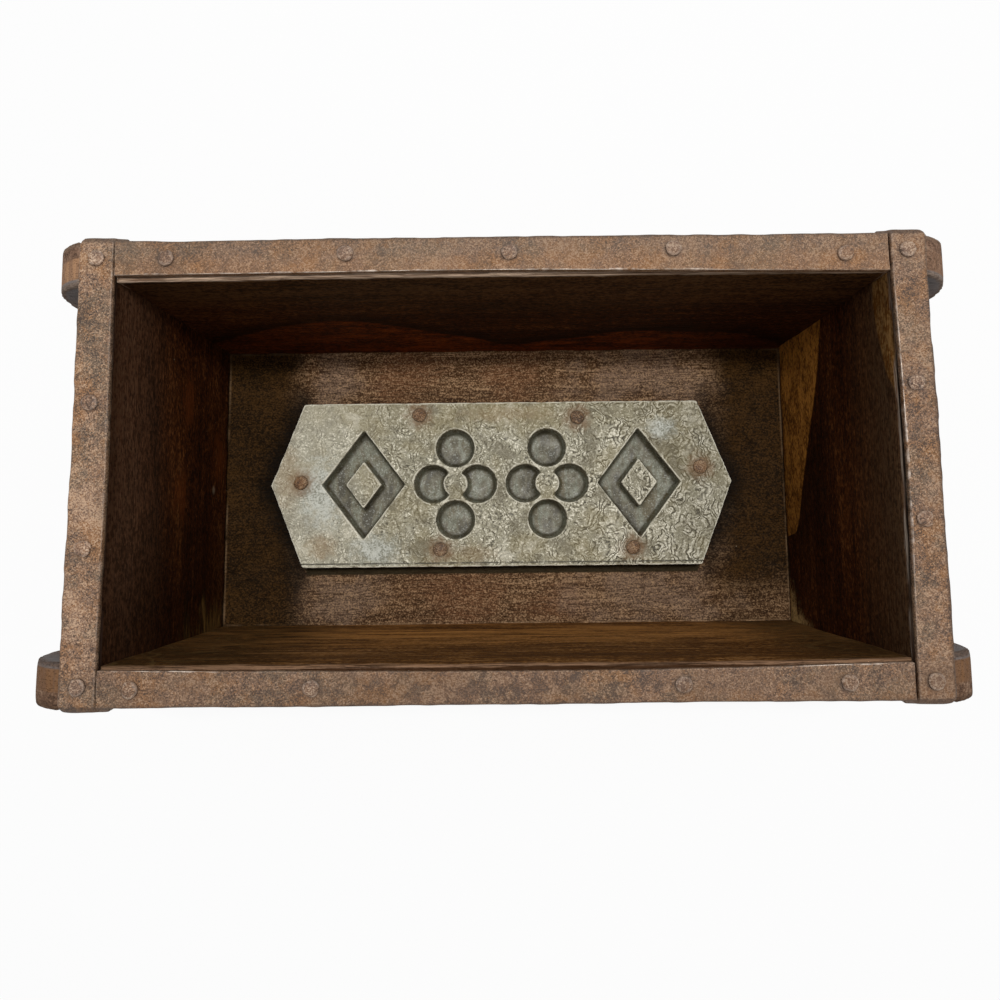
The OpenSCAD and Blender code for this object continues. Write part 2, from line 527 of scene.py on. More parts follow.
class Graph:
    """Writes the nodes of one material or node group."""

    def __init__(self, tree: Tree) -> None:
        """Starts on a node tree.

        Args:
            tree: The node tree to fill.
        """
        self.tree = tree

    @classmethod
    def start(cls, owner: Material | bpy.types.World) -> Graph:
        """Starts on a material or the world, without Blender's own nodes."""
        owner.use_nodes = True
        owner.node_tree.nodes.clear()
        return cls(owner.node_tree)

    def fill(self, node: bpy.types.Node, values: Values) -> bpy.types.Node:
        """Fills or links a node's inputs.

        Args:
            node: The node.
            values: Inputs by name or number, each a value or another node's output.

        Returns:
            The node.
        """
        for key, value in values.items():
            socket = node.inputs[key]
            if isinstance(value, Socket):
                self.tree.links.new(value, socket)
            elif socket.type == "RGBA":
                socket.default_value = (*value, 1)
            else:
                socket.default_value = value
        return node

    def add(self, kind: str, values: Values | None = None, **settings: object) -> bpy.types.Node:
        """Adds a node, sets its options, and fills or links its inputs.

        Args:
            kind: Type of node, without its ShaderNode prefix.
            values: Inputs by name or number, each a value or another node's output.
            settings: The node's own options.

        Returns:
            The node.
        """
        node = self.tree.nodes.new("ShaderNode" + kind)
        for key, value in settings.items():
            setattr(node, key, value)
        return self.fill(node, values or {})

    def use(self, effect: Tree, values: dict[str, object]) -> Sockets:
        """Adds a shared effect with its own values, and returns its outputs."""
        return self.fill(self.add("Group", node_tree=effect), values).outputs

    def math(self, operation: str, first: object, second: object = 0.0) -> Socket:
        """Returns the result of one sum of two numbers."""
        return self.add("Math", {0: first, 1: second}, operation=operation).outputs[0]

    def times(self, first: object, second: object) -> Socket:
        """Returns the product of two numbers."""
        return self.math("MULTIPLY", first, second)

    def plus(self, first: object, second: object) -> Socket:
        """Returns the sum of two numbers."""
        return self.math("ADD", first, second)

    def minus(self, first: object, second: object) -> Socket:
        """Returns the difference of two numbers."""
        return self.math("SUBTRACT", first, second)

    def larger(self, first: object, second: object) -> Socket:
        """Returns the larger of two numbers."""
        return self.math("MAXIMUM", first, second)

    def around(self, value: object, height: object) -> Socket:
        """Returns a value that lies near a half, moved to swing about zero and scaled."""
        return self.times(self.minus(value, 0.5), height)

    def weigh(self, *parts: tuple[object, float]) -> Socket:
        """Returns the sum of several numbers, each times its weight."""
        (value, weight), *rest = parts
        product = self.times(value, weight)
        return self.plus(product, self.weigh(*rest)) if rest else product

    def plus_vector(self, first: object, second: object) -> Socket:
        """Returns the sum of two vectors."""
        return self.add("VectorMath", {0: first, 1: second}, operation="ADD").outputs[0]

    def size_of(self, value: object) -> Socket:
        """Returns a number without its sign."""
        return self.math("ABSOLUTE", value)

    def ease(self, value: object, start: float, end: float, low: float = 0.0, high: float = 1.0) -> Socket:
        """Maps a value smoothly from one range to another and holds it there.

        Args:
            value: The value to map.
            start: Value that gives low.
            end: Value that gives high.
            low: First result.
            high: Second result.

        Returns:
            The mapped value.
        """
        values = {0: value, 1: start, 2: end, 3: low, 4: high}
        return self.add("MapRange", values, interpolation_type="SMOOTHSTEP").outputs[0]

    def noise(self, vector: object, scale: float, detail: float = 3.0, rough: float = 0.5) -> Socket:
        """Returns a noise value near 0 to 1 at a vector."""
        values = {"Vector": vector, "Scale": scale, "Detail": detail, "Roughness": rough}
        return self.add("TexNoise", values).outputs["Fac"]

    def stretch(self, vector: object, scale: Sequence[float], shift: Sequence[float] = (0, 0, 0)) -> Socket:
        """Returns a vector scaled and shifted along each axis."""
        return self.add("Mapping", {"Vector": vector, "Location": shift, "Scale": scale}).outputs[0]

    def blend(self, factor: object, first: object, second: object) -> Socket:
        """Returns one colour laid over another."""
        return self.add("Mix", {0: factor, 6: first, 7: second}, data_type="RGBA").outputs[2]

    def lerp(self, factor: object, first: object, second: object) -> Socket:
        """Returns a number between two others."""
        return self.add("Mix", {0: factor, 2: first, 3: second}, data_type="FLOAT").outputs[0]

    def ramp(self, value: object, stops: Sequence[tuple[float, Colour]]) -> Socket:
        """Returns a colour read from a ramp of coloured stops."""
        node = self.add("ValToRGB", {0: value})
        elements = node.color_ramp.elements
        while len(elements) < len(stops):
            elements.new(1.0)
        for element, (place, colour) in zip(elements, stops):
            element.position = place
            element.color = (*colour, 1)
        return node.outputs[0]

    def below(self, along: object, height: object, line: Line, blur: float) -> Socket:
        """Masks what lies under a curved line drawn on a wall.

        Args:
            along: Place along the wall in millimetres.
            height: Height on the wall in millimetres.
            line: Points of the line in millimetres, from the lowest place along to the highest.
            blur: Half the width of the mask's soft edge.

        Returns:
            A mask, 1 under the line.
        """
        reach, tallest = 130.0, 100.0
        place = self.add("MapRange", {0: along, 1: -reach, 2: reach}).outputs[0]
        node = self.add("FloatCurve", {"Value": place})
        curve = node.mapping.curves[0]
        spots = [((a + reach) / (2 * reach), z / tallest) for a, z in line]
        curve.points[0].location = spots[0]
        curve.points[1].location = spots[-1]
        for spot in spots[1:-1]:
            curve.points.new(*spot)
        node.mapping.update()
        gap = self.minus(self.times(node.outputs[0], tallest), height)
        return self.ease(gap, -blur, blur)

    def spot(self, vector: object, centre: Point, reach: Point, ragged: object = 0.0) -> Socket:
        """Masks a soft spot.

        Args:
            vector: Place on the surface in millimetres.
            centre: Centre of the spot.
            reach: Reach of the spot along each axis.
            ragged: A number near zero that roughens its outline.

        Returns:
            A mask, 1 at the centre and 0 at the reach.
        """
        rates = [1 / part for part in reach]
        shift = [-place * rate for place, rate in zip(centre, rates)]
        scaled = self.stretch(vector, rates, shift)
        away = self.add("VectorMath", {0: scaled}, operation="LENGTH").outputs["Value"]
        return self.ease(self.plus(away, ragged), 1.0, 0.2)

    def layer(self, layer: Layer) -> Socket:
        """Returns a number stored with the piece's vertices."""
        return self.add("Attribute", attribute_name=layer.value).outputs["Fac"]


class Effects:
    """Shader effects that more than one finish uses, each built once."""

    def __init__(self) -> None:
        """Builds the node groups."""
        self.grit = self._grit()
        self.grain = self._grain()
        self.specks = self._specks()
        self.rust = self._rust()
        self.worn = self._worn()

    @staticmethod
    def _group(
        name: str, inputs: dict[str, tuple[str, object]], outputs: dict[str, str]
    ) -> tuple[Graph, Sockets, Sockets]:
        """Makes an empty group with named inputs and outputs.

        Args:
            name: Name of the effect.
            inputs: Type and default of each input.
            outputs: Type of each output.

        Returns:
            The group's writer, the sockets that bring its inputs in, and those that take its outputs.
        """
        tree = bpy.data.node_groups.new(name, "ShaderNodeTree")
        for key, (kind, default) in inputs.items():
            socket = tree.interface.new_socket(key, in_out="INPUT", socket_type="NodeSocket" + kind)
            if default is not None:
                socket.default_value = default
        for key, kind in outputs.items():
            tree.interface.new_socket(key, in_out="OUTPUT", socket_type="NodeSocket" + kind)
        start = tree.nodes.new("NodeGroupInput")
        end = tree.nodes.new("NodeGroupOutput")
        return Graph(tree), start.outputs, end.inputs

    @staticmethod
    def _close(g: Graph, out: Sockets, results: dict[str, Socket]) -> Tree:
        """Links a group's results to its outputs, and returns the group."""
        for key, value in results.items():
            g.tree.links.new(value, out[key])
        return g.tree

    def _grit(self) -> Tree:
        """Builds crisp grains of random tone, softened by noise of the same size."""
        g, given, out = self._group(
            "Mineral grit",
            {"Vector": ("Vector", None), "Size": ("Float", 0.7)},
            {"Grain": "Float", "Tint": "Float"},
        )
        rate = g.math("DIVIDE", 1.0, given["Size"])
        cells = g.add("TexVoronoi", {"Vector": given["Vector"], "Scale": rate}).outputs
        chance = g.add("SeparateColor", {0: cells["Color"]}).outputs
        soft = g.add("TexNoise", {"Vector": given["Vector"], "Scale": rate, "Detail": 2.0}).outputs[0]
        tone = g.plus(g.times(chance[0], 0.5), g.ease(soft, 0.25, 0.75, 0.0, 0.5))
        return self._close(g, out, {"Grain": tone, "Tint": chance[1]})

    def _grain(self) -> Tree:
        """Builds fibres, broad figure and pores along the first axis of a vector in millimetres."""
        g, given, out = self._group(
            "Timber grain",
            {"Vector": ("Vector", None), "Seed": ("Float", 0.0), "Wave": ("Float", 14.0)},
            {"Figure": "Float", "Bands": "Float", "Fibre": "Float", "Pores": "Float"},
        )
        seed = g.add("CombineXYZ", {0: given["Seed"], 1: given["Seed"], 2: given["Seed"]}).outputs[0]
        vector = g.plus_vector(given["Vector"], seed)
        sway = g.noise(g.stretch(vector, (0.012, 0.03, 0.03)), 1, 2)
        lift = g.around(sway, given["Wave"])
        shift = g.add("CombineXYZ", {1: lift, 2: lift}).outputs[0]
        lifted = g.plus_vector(vector, shift)
        figure = g.noise(g.stretch(lifted, (0.008, 0.06, 0.06)), 1, 3)
        bands = g.noise(g.stretch(lifted, (0.014, 0.42, 0.42)), 1, 3, 0.55)
        fibre = g.noise(g.stretch(lifted, (0.06, 1.7, 1.7)), 1, 3, 0.6)
        pores = g.ease(g.noise(g.stretch(lifted, (0.16, 2.6, 2.6)), 1, 1), 0.6, 0.7)
        return self._close(g, out, {"Figure": figure, "Bands": bands, "Fibre": fibre, "Pores": pores})

    def _specks(self) -> Tree:
        """Builds scattered pale grains of dust, each in a cell of its own."""
        g, given, out = self._group(
            "Dust specks",
            {
                "Vector": ("Vector", None),
                "Spacing": ("Float", 6.0),
                "Size": ("Float", 0.3),
                "Share": ("Float", 0.5),
            },
            {"Mask": "Float"},
        )
        rate = g.math("DIVIDE", 1.0, given["Spacing"])
        cells = g.add("TexVoronoi", {"Vector": given["Vector"], "Scale": rate}).outputs
        away = g.times(cells["Distance"], given["Spacing"])
        chance = g.add("SeparateColor", {0: cells["Color"]}).outputs
        size = g.times(given["Size"], g.plus(0.4, chance[1]))
        near = g.ease(g.minus(away, size), 0.12, -0.12)
        return self._close(g, out, {"Mask": g.times(near, g.math("LESS_THAN", chance[0], given["Share"]))})

    def _rust(self) -> Tree:
        """Builds granular brown rust skin with orange, violet and dark patches."""
        g, given, out = self._group(
            "Rust skin",
            {
                "Vector": ("Vector", None),
                "Dark": ("Color", (0.05, 0.035, 0.03, 1)),
                "Base": ("Color", (0.2, 0.13, 0.09, 1)),
                "Bloom": ("Color", (0.4, 0.25, 0.15, 1)),
                "Orange": ("Color", (0.35, 0.17, 0.07, 1)),
                "Violet": ("Color", (0.15, 0.11, 0.1, 1)),
                "Darkness": ("Float", 0.0),
            },
            {"Colour": "Color", "Roughness": "Float", "Height": "Float"},
        )
        vector = given["Vector"]
        grit = g.use(self.grit, {"Vector": vector, "Size": 0.42})
        middle = g.noise(g.stretch(vector, (1, 1, 1), (13, 5, 2)), 0.28, 4, 0.65)
        broad = g.minus(g.noise(vector, 0.05, 3), 0.5)
        cool = g.ease(g.noise(vector, 0.075, 4, 0.6), 0.45, 0.6, 0, 0.85)
        colour = g.blend(cool, given["Base"], given["Violet"])
        ochre = g.noise(g.stretch(vector, (1, 1, 1), (71, 31, 9)), 0.065, 4, 0.65)
        colour = g.blend(g.ease(ochre, 0.48, 0.64, 0, 0.7), colour, given["Orange"])
        colour = g.blend(g.ease(grit["Tint"], 0.72, 0.9, 0, 0.5), colour, given["Orange"])
        patches = g.plus(g.minus(middle, 0.5), g.times(broad, 0.9))
        tone = g.plus(grit["Grain"], patches)
        tone = g.minus(tone, g.times(given["Darkness"], g.ease(middle, 0.53, 0.46, 0, 0.2)))
        colour = g.blend(g.ease(tone, 0.48, 0.93, 0, 0.92), colour, given["Bloom"])
        colour = g.blend(g.ease(tone, 0.5, 0.09, 0, 0.92), colour, given["Dark"])
        rough = g.ease(middle, 0.35, 0.65, 0.52, 0.8)
        height = g.plus(g.times(middle, 0.9), g.noise(vector, 1.3, 3, 0.7))
        return self._close(g, out, {"Colour": colour, "Roughness": rough, "Height": height})

    def _worn(self) -> Tree:
        """Builds a mask of the ridges that hands and clay have rubbed."""
        g, given, out = self._group(
            "Worn edge",
            {
                "Edge": ("Float", 0.0),
                "Vector": ("Vector", None),
                "Start": ("Float", 0.2),
                "Size": ("Float", 4.0),
                "Raggedness": ("Float", 0.8),
            },
            {"Mask": "Float"},
        )
        rate = g.math("DIVIDE", 1.0, given["Size"])
        cloud = g.add("TexNoise", {"Vector": given["Vector"], "Scale": rate, "Detail": 3.0}).outputs[0]
        level = g.minus(given["Edge"], given["Start"])
        level = g.plus(level, g.around(cloud, given["Raggedness"]))
        return self._close(g, out, {"Mask": g.ease(level, 0.0, 0.35)})


@dataclass(frozen=True)
class Ground:
    """What a finish reads from its surface: the place in millimetres and the numbers stored with it."""

    place: Socket
    x: Socket
    y: Socket
    z: Socket
    edge: Socket
    hollow: Socket

    @classmethod
    def read(cls, g: Graph) -> Ground:
        """Adds the nodes that read the surface.

        Args:
            g: The material's graph.

        Returns:
            The sockets.
        """
        place = g.stretch(g.add("TexCoord").outputs["Object"], (1 / MM,) * 3)
        x, y, z = g.add("SeparateXYZ", {0: place}).outputs
        return cls(place, x, y, z, g.layer(Layer.EDGE), g.layer(Layer.HOLLOW))


@dataclass(frozen=True)
class Finish:
    """A material with a Principled BSDF whose changing inputs come from nodes."""

    name: str
    effects: Effects

    def build(self) -> Material:
        """Makes the material.

        Returns:
            The new material.
        """
        material = bpy.data.materials.new(self.name)
        g = Graph.start(material)
        shader = g.add("BsdfPrincipled")
        g.add("OutputMaterial", {0: shader.outputs[0]})
        g.fill(shader, self.paint(g, Ground.read(g)))
        return material

    def paint(self, g: Graph, at: Ground) -> dict[str, object]:
        """Adds the finish's nodes.

        Args:
            g: The material's graph.
            at: The surface.

        Returns:
            The shader's inputs by name.
        """
        raise NotImplementedError

    @staticmethod
    def bump(g: Graph, height: Socket, depth: float) -> Socket:
        """Returns a normal for a height that stands for a depth in millimetres."""
        return g.add("Bump", {"Height": height, "Strength": 1.0, "Distance": depth * MM}).outputs[0]


@dataclass(frozen=True)
class TimberFinish(Finish):
    """Old oiled timber, dark inside the box and weathered outside it."""

    sizes: Sizes
    grain: Grain = Grain.ALONG_X
    seed: float = 0.0
    dark: Colour = srgb(18, 7, 1)
    deep: Colour = srgb(44, 20, 7)
    plain: Colour = srgb(74, 38, 15)
    pale: Colour = srgb(116, 72, 38)
    weathered: Colour = srgb(126, 98, 80)
    outer_dark: Colour = srgb(70, 54, 44)
    outer_light: Colour = srgb(160, 132, 110)
    heart: Colour = srgb(177, 136, 102)
    ear_inner: Colour = srgb(124, 120, 119)
    rubbed: Colour = srgb(176, 146, 120)
    rubbed_dark: Colour = srgb(88, 64, 50)
    dust: Colour = srgb(170, 155, 130)
    weights: tuple[float, float, float] = (0.4, 0.3, 0.3)
    spread: float = 0.2
    grittiness: float = 0.32
    grit_shape: Point = (0.55, 1.0, 1.0)
    grit_size: float = 0.7
    sheen: float = 0.05
    outer_rough: float = 0.85
    speck_gap: float = 8.0
    arris: float = 0.25
    left_heart: float = 0.85
    right_heart: float = 1.0
    specks: tuple[float, float, float] = (0.22, 0.2, 0.6)
    ear_stripe: tuple[float, float] = (66.0, 4.0)
    ledge_w: float = 0.5

    def inside(self, g: Graph, at: Ground) -> Socket:
        """Returns the mask of the faces that look into the box."""
        s = self.sizes
        in_x = g.ease(g.size_of(at.x), s.half_l / MM + 1.1, s.half_l / MM + 0.5)
        in_y = g.ease(g.size_of(at.y), s.half_w / MM + 1.1, s.half_w / MM + 0.5)
        above = g.ease(at.z, s.floor_z / MM - 1.2, s.floor_z / MM - 0.6)
        return g.times(g.times(in_x, in_y), above)

    def inner(self, g: Graph, grain: dict[str, Socket]) -> Socket:
        """Colours the faces that look into the box, darkest in the valleys of the grain.

        Args:
            g: The material's graph.
            grain: Figure, bands, fibre, pores and grit.

        Returns:
            The colour.
        """
        broad, middle, fine = self.weights
        value = g.weigh((grain["Figure"], broad), (grain["Bands"], middle), (grain["Fibre"], fine))
        value = g.plus(value, g.around(grain["Grit"], self.grittiness))
        low = 0.5 - self.spread
        stops = [(low + self.spread * step / 1.5, tone) for step, tone in enumerate(self.tones())]
        return g.ramp(value, stops)

    def tones(self) -> tuple[Colour, ...]:
        """Returns the inner timber's colours, from the darkest to the palest."""
        return self.dark, self.deep, self.plain, self.pale

    def features(self, g: Graph, at: Ground, grain: dict[str, Socket], colour: Socket) -> Socket:
        """Adds what only this board has inside the box."""
        return colour

    def outer(self, g: Graph, at: Ground, grain: dict[str, Socket]) -> Socket:
        """Colours the weathered faces outside the box, with brown heartwood on the ears.

        Args:
            g: The material's graph.
            at: The surface.
            grain: Figure, bands, fibre, pores and grit.

        Returns:
            The colour.
        """
        mottle = g.noise(at.place, 0.9, 4, 0.7)
        value = g.weigh((grain["Bands"], 0.4), (mottle, 0.6))
        colour = g.ramp(value, ((0.36, self.outer_dark), (0.5, self.weathered), (0.66, self.outer_light)))
        ear_start = self.sizes.end_x / MM
        on_ear = g.ease(g.size_of(at.x), ear_start + 0.4, ear_start + 1.4)
        centre, half = self.ear_stripe
        from_middle = g.size_of(g.minus(g.size_of(at.y), centre))
        stripe = g.ease(g.plus(from_middle, g.times(mottle, 0.8)), half + 0.9, half + 0.1)
        rings = g.noise(g.stretch(at.place, (0.55, 0.05, 0.3)), 1, 3)
        heart = g.blend(g.ease(rings, 0.42, 0.56, 0, 0.6), self.heart, self.weathered)
        strength = g.ease(at.x, -100.0, 100.0, self.left_heart, self.left_heart * self.right_heart)
        colour = g.blend(g.times(g.times(stripe, on_ear), strength), colour, heart)
        faces_in = g.times(g.ease(g.size_of(at.y), centre - half + 1.3, centre - half + 0.5), on_ear)
        near_rim = g.ease(g.plus(at.z, g.times(mottle, 12.0)), 72.0, 96.0, 0.15, 0.9)
        return g.blend(g.times(faces_in, near_rim), colour, self.ear_inner)

    def ledge(self, g: Graph, at: Ground, colour: Socket) -> Socket:
        """Darkens the part of the rim that lies close to the strap.

        Args:
            g: The material's graph.
            at: The surface.
            colour: The timber's colour so far.

        Returns:
            The colour.
        """
        s = self.sizes
        top = g.ease(at.z, s.rim_z / MM - 0.9, s.rim_z / MM - 0.5)
        past_x = g.minus(g.size_of(at.x), s.half_l / MM)
        past_y = g.minus(g.size_of(at.y), s.half_w / MM)
        past = past_x if self.grain is Grain.ALONG_Y else past_y
        wander = g.around(g.noise(at.place, 0.12, 3), 1.2)
        beside_strap = g.ease(g.plus(past, wander), self.ledge_w, self.ledge_w + 0.35)
        near = g.ease(past, 4.0, 3.0)
        return g.blend(g.times(g.times(top, beside_strap), g.times(near, 0.9)), colour, self.dark)

    def paint(self, g: Graph, at: Ground) -> dict[str, object]:
        """Adds grain, wear, dirt, weathering and painted shade in the hollows and on the ears' edges.

        Args:
            g: The material's graph.
            at: The surface.

        Returns:
            The shader's inputs by name.
        """
        axes = {index: getattr(at, axis) for index, axis in enumerate(self.grain.value)}
        along = g.add("CombineXYZ", axes).outputs[0]
        outputs = g.use(self.effects.grain, {"Vector": along, "Seed": self.seed})
        grain = {key: outputs[key] for key in ("Figure", "Bands", "Fibre", "Pores")}
        values = {"Vector": g.stretch(along, self.grit_shape), "Size": self.grit_size}
        grain["Grit"] = g.use(self.effects.grit, values)["Grain"]
        inside = self.inside(g, at)
        colour = self.features(g, at, grain, self.inner(g, grain))
        colour = g.blend(inside, self.outer(g, at, grain), colour)
        colour = g.blend(g.times(grain["Pores"], 0.3), colour, self.dark)
        # Painted shade: the hollows darken.
        colour = g.blend(g.ease(at.hollow, -0.25, -0.9, 0, 0.7), colour, self.dark)
        values = {"Edge": at.edge, "Vector": at.place, "Start": self.arris, "Size": 7.0, "Raggedness": 0.6}
        worn = g.use(self.effects.worn, values)[0]
        below_rim = g.ease(at.z, self.sizes.rim_z / MM - 9.0, self.sizes.rim_z / MM - 3.0)
        worn = g.times(worn, g.larger(below_rim, g.minus(1.0, inside)))
        ear_start = self.sizes.end_x / MM
        on_ear = g.ease(g.size_of(at.x), ear_start, ear_start + 2.0)
        worn = g.times(worn, g.lerp(on_ear, 1.0, 0.25))
        # Painted shade: the ears' rounded edges darken.
        colour = g.blend(g.times(on_ear, g.ease(at.edge, 0.2, 0.7, 0, 0.7)), colour, self.outer_dark)
        lines = g.noise(g.stretch(along, (0.03, 1.9, 1.9)), 1, 3, 0.6)
        rubbed = g.blend(g.ease(lines, 0.4, 0.58), self.rubbed_dark, self.rubbed)
        colour = g.blend(g.times(worn, 0.8), colour, rubbed)
        colour = self.ledge(g, at, colour)
        size, share, light = self.specks
        values = {"Vector": at.place, "Spacing": self.speck_gap, "Size": size, "Share": share}
        specks = g.use(self.effects.specks, values)[0]
        colour = g.blend(g.times(g.times(specks, inside), light), colour, self.dust)
        height = g.minus(grain["Fibre"], g.times(grain["Pores"], 0.5))
        return {
            "Base Color": colour,
            "Roughness": g.lerp(inside, self.outer_rough, g.ease(grain["Fibre"], 0.35, 0.65, 0.55, 0.72)),
            "Specular IOR Level": self.sheen,
            "Normal": self.bump(g, height, 0.4),
        }


@dataclass(frozen=True)
class FloorTimber(TimberFinish):
    """The floor: dusty and rubbed in the middle, dark at both ends with oil and painted shade, with painted
    shade round the plate and painted light along the rear.
    """

    dark: Colour = srgb(56, 37, 22)
    deep: Colour = srgb(86, 61, 40)
    plain: Colour = srgb(110, 82, 57)
    pale: Colour = srgb(158, 127, 95)
    dust: Colour = srgb(205, 190, 165)
    weights: tuple[float, float, float] = (0.2, 0.45, 0.35)
    spread: float = 0.15
    specks: tuple[float, float, float] = (0.34, 0.1, 0.9)
    grit_shape: Point = (1.0, 1.0, 1.0)
    grit_size: float = 0.6
    plate: tuple[float, float, float, float, float] = (-1.8, 0.0, 101.8, 87.5, 36.4)
    red: Colour = srgb(112, 75, 50)
    grey: Colour = srgb(130, 108, 91)
    # Colours of the dark ends: oily dirt together with painted shade.
    oil_and_shade: Colour = srgb(22, 13, 4)
    oil_and_shade_pale: Colour = srgb(63, 41, 15)
    # Colour of the painted shade round the plate's two points.
    black: Colour = srgb(10, 8, 5)
    # Colour of the painted shadow band on the floor in front of the plate.
    gap: Colour = srgb(42, 35, 21)
    left_edge: float = -94.0
    right_edge: float = 98.0
    dusty: tuple[tuple[Point, Point], ...] = (
        ((60, 50, 14), (44, 22, 9)),
        ((-78, 52, 14), (18, 18, 9)),
        ((62, -50, 14), (46, 20, 9)),
        ((-74, -50, 14), (26, 16, 9)),
    )
    reddish: tuple[tuple[Point, Point], ...] = (
        ((-45, 50, 14), (26, 18, 9)),
        ((6, 50, 14), (22, 18, 9)),
        ((-20, -50, 14), (34, 16, 9)),
        ((18, -54, 14), (26, 12, 9)),
    )

    def from_plate(self, g: Graph, at: Ground, shift: float) -> Socket:
        """Measures the distance outside the six-sided plate.

        Args:
            g: The material's graph.
            at: The surface.
            shift: How far the plate's outline is moved to the rear.

        Returns:
            The distance in millimetres, below 0 under the plate.
        """
        x0, y0, tip, side, half_w = self.plate
        x = g.size_of(g.minus(at.x, x0))
        y = g.size_of(g.minus(at.y, y0 + shift))
        slope = (tip - side) / half_w
        past_tip = g.minus(g.plus(x, g.times(y, slope)), tip)
        return g.larger(g.minus(y, half_w), g.times(past_tip, 1 / math.hypot(1, slope)))

    def features(self, g: Graph, at: Ground, grain: dict[str, Socket], colour: Socket) -> Socket:
        """Adds red and dusty patches, speckle, dark ends of oil and painted shade, painted light on the rear
        strip, painted shade round the plate and the dusty joints.

        Args:
            g: The material's graph.
            at: The surface.
            grain: Figure, bands, fibre, pores and grit.
            colour: The timber's colour so far.

        Returns:
            The colour.
        """
        patches = g.minus(g.noise(at.place, 0.06, 4, 0.65), 0.5)
        ragged = g.times(patches, 2.6)
        for spots, tone in ((self.reddish, self.red), (self.dusty, self.grey)):
            for centre, reach in spots:
                colour = g.blend(g.times(g.spot(at.place, centre, reach, ragged), 0.6), colour, tone)
        grit = grain["Grit"]
        colour = g.blend(g.ease(grain["Fibre"], 0.52, 0.38, 0, 0.6), colour, self.dark)
        colour = g.blend(g.ease(grit, 0.5, 0.15, 0, 0.6), colour, self.dark)
        colour = g.blend(g.ease(grit, 0.52, 0.85, 0, 0.65), colour, self.pale)
        rear_wall_shadow = g.ease(at.y, 42.0, 58.0)
        # The ends darken: oily dirt together with painted shade from the end walls.
        x = g.plus(at.x, g.times(patches, 16.0))
        left = g.ease(x, self.left_edge + 9, self.left_edge - 8)
        right = g.ease(x, self.right_edge - 11, self.right_edge + 8)
        light = g.ease(g.plus(at.y, g.times(patches, 20.0)), -36.0, -58.0, 1.0, 0.3)
        ends = g.larger(left, g.times(right, light))
        oil_and_shade_tone = g.blend(g.ease(g.plus(grit, g.times(patches, 1.2)), 0.15, 0.95), self.oil_and_shade, self.oil_and_shade_pale)
        colour = g.blend(g.times(ends, 0.97), colour, oil_and_shade_tone)
        # Painted light: the floor's rear strip, which the rear wall shades from the lamp, is brightened to
        # cancel that shadow.
        painted_light_gain = g.lerp(rear_wall_shadow, 1.0, 2.2)
        colour = g.add("VectorMath", {0: colour, "Scale": painted_light_gain}, operation="SCALE").outputs[0]
        # Painted shade: the floor darkens round the plate's two points.
        tip_shade = g.ease(self.from_plate(g, at, 0.0), 14.0, 2.0)
        tips = g.ease(g.size_of(at.x), 84.0, 94.0)
        colour = g.blend(g.times(g.times(tip_shade, tips), 0.9), colour, self.black)
        # Painted shadow: a dark band on the floor just in front of the plate's front edge.
        plate_shadow = g.ease(self.from_plate(g, at, -3.0), 1.0, 0.2)
        colour = g.blend(g.times(plate_shadow, 0.95), colour, self.gap)
        to_end = g.minus(self.sizes.half_l / MM, g.size_of(at.x))
        to_side = g.minus(self.sizes.half_w / MM, g.size_of(at.y))
        joint = g.ease(g.math("MINIMUM", to_end, to_side), 0.8, 0.2)
        broken = g.ease(g.noise(at.place, 0.05, 5, 0.6), 0.4, 0.62)
        return g.blend(g.times(g.times(joint, broken), 0.3), colour, self.pale)


@dataclass(frozen=True)
class RearTimber(TimberFinish):
    """The rear board: a greenish black wall with a red-brown band near the floor."""

    band: Colour = srgb(136, 64, 22)
    band_dark: Colour = srgb(50, 19, 4)
    upper: Colour = srgb(92, 64, 38)
    rubbed: Colour = srgb(214, 186, 160)
    rubbed_dark: Colour = srgb(132, 106, 86)
    right_heart: float = 0.2
    ledge_w: float = 1.7
    line: Line = (
        (-130, 28), (-104, 44), (-80, 54), (-64, 57), (-46, 52), (-28, 42), (-10, 33), (3, 25), (16, 29),
        (33, 34.5), (49, 41), (69, 41), (99, 37), (122, 24), (130, 20),
    )  # fmt: skip

    def features(self, g: Graph, at: Ground, grain: dict[str, Socket], colour: Socket) -> Socket:
        """Adds the band, the dark line above it and the duller timber near the rim.

        Args:
            g: The material's graph.
            at: The surface.
            grain: Figure, bands, fibre, pores and grit.
            colour: The timber's colour so far.

        Returns:
            The colour.
        """
        low = g.below(at.x, at.z, self.line, 1.6)
        mottle = g.noise(g.stretch(at.place, (0.05, 0.3, 0.22)), 1, 4, 0.65)
        streaks = g.weigh((grain["Fibre"], 0.3), (mottle, 0.5), (grain["Grit"], 0.2))
        tone = g.blend(g.ease(streaks, 0.4, 0.62), self.band_dark, self.band)
        fading = g.times(g.ease(at.x, -118.0, -40.0, 0.5, 1.0), g.ease(at.x, 112.0, 50.0, 0.2, 1.0))
        colour = g.blend(g.times(low, g.times(fading, 0.9)), colour, tone)
        over = g.below(at.x, g.minus(at.z, 7.0), self.line, 6.0)
        over = g.times(over, g.minus(1.0, low))
        colour = g.blend(g.times(over, 0.7), colour, self.dark)
        high = g.ease(at.z, 55.0, 92.0)
        fine = g.weigh((grain["Bands"], 0.4), (grain["Fibre"], 0.3), (grain["Grit"], 0.3))
        return g.blend(g.times(high, g.ease(fine, 0.38, 0.62, 0.1, 0.9)), colour, self.upper)


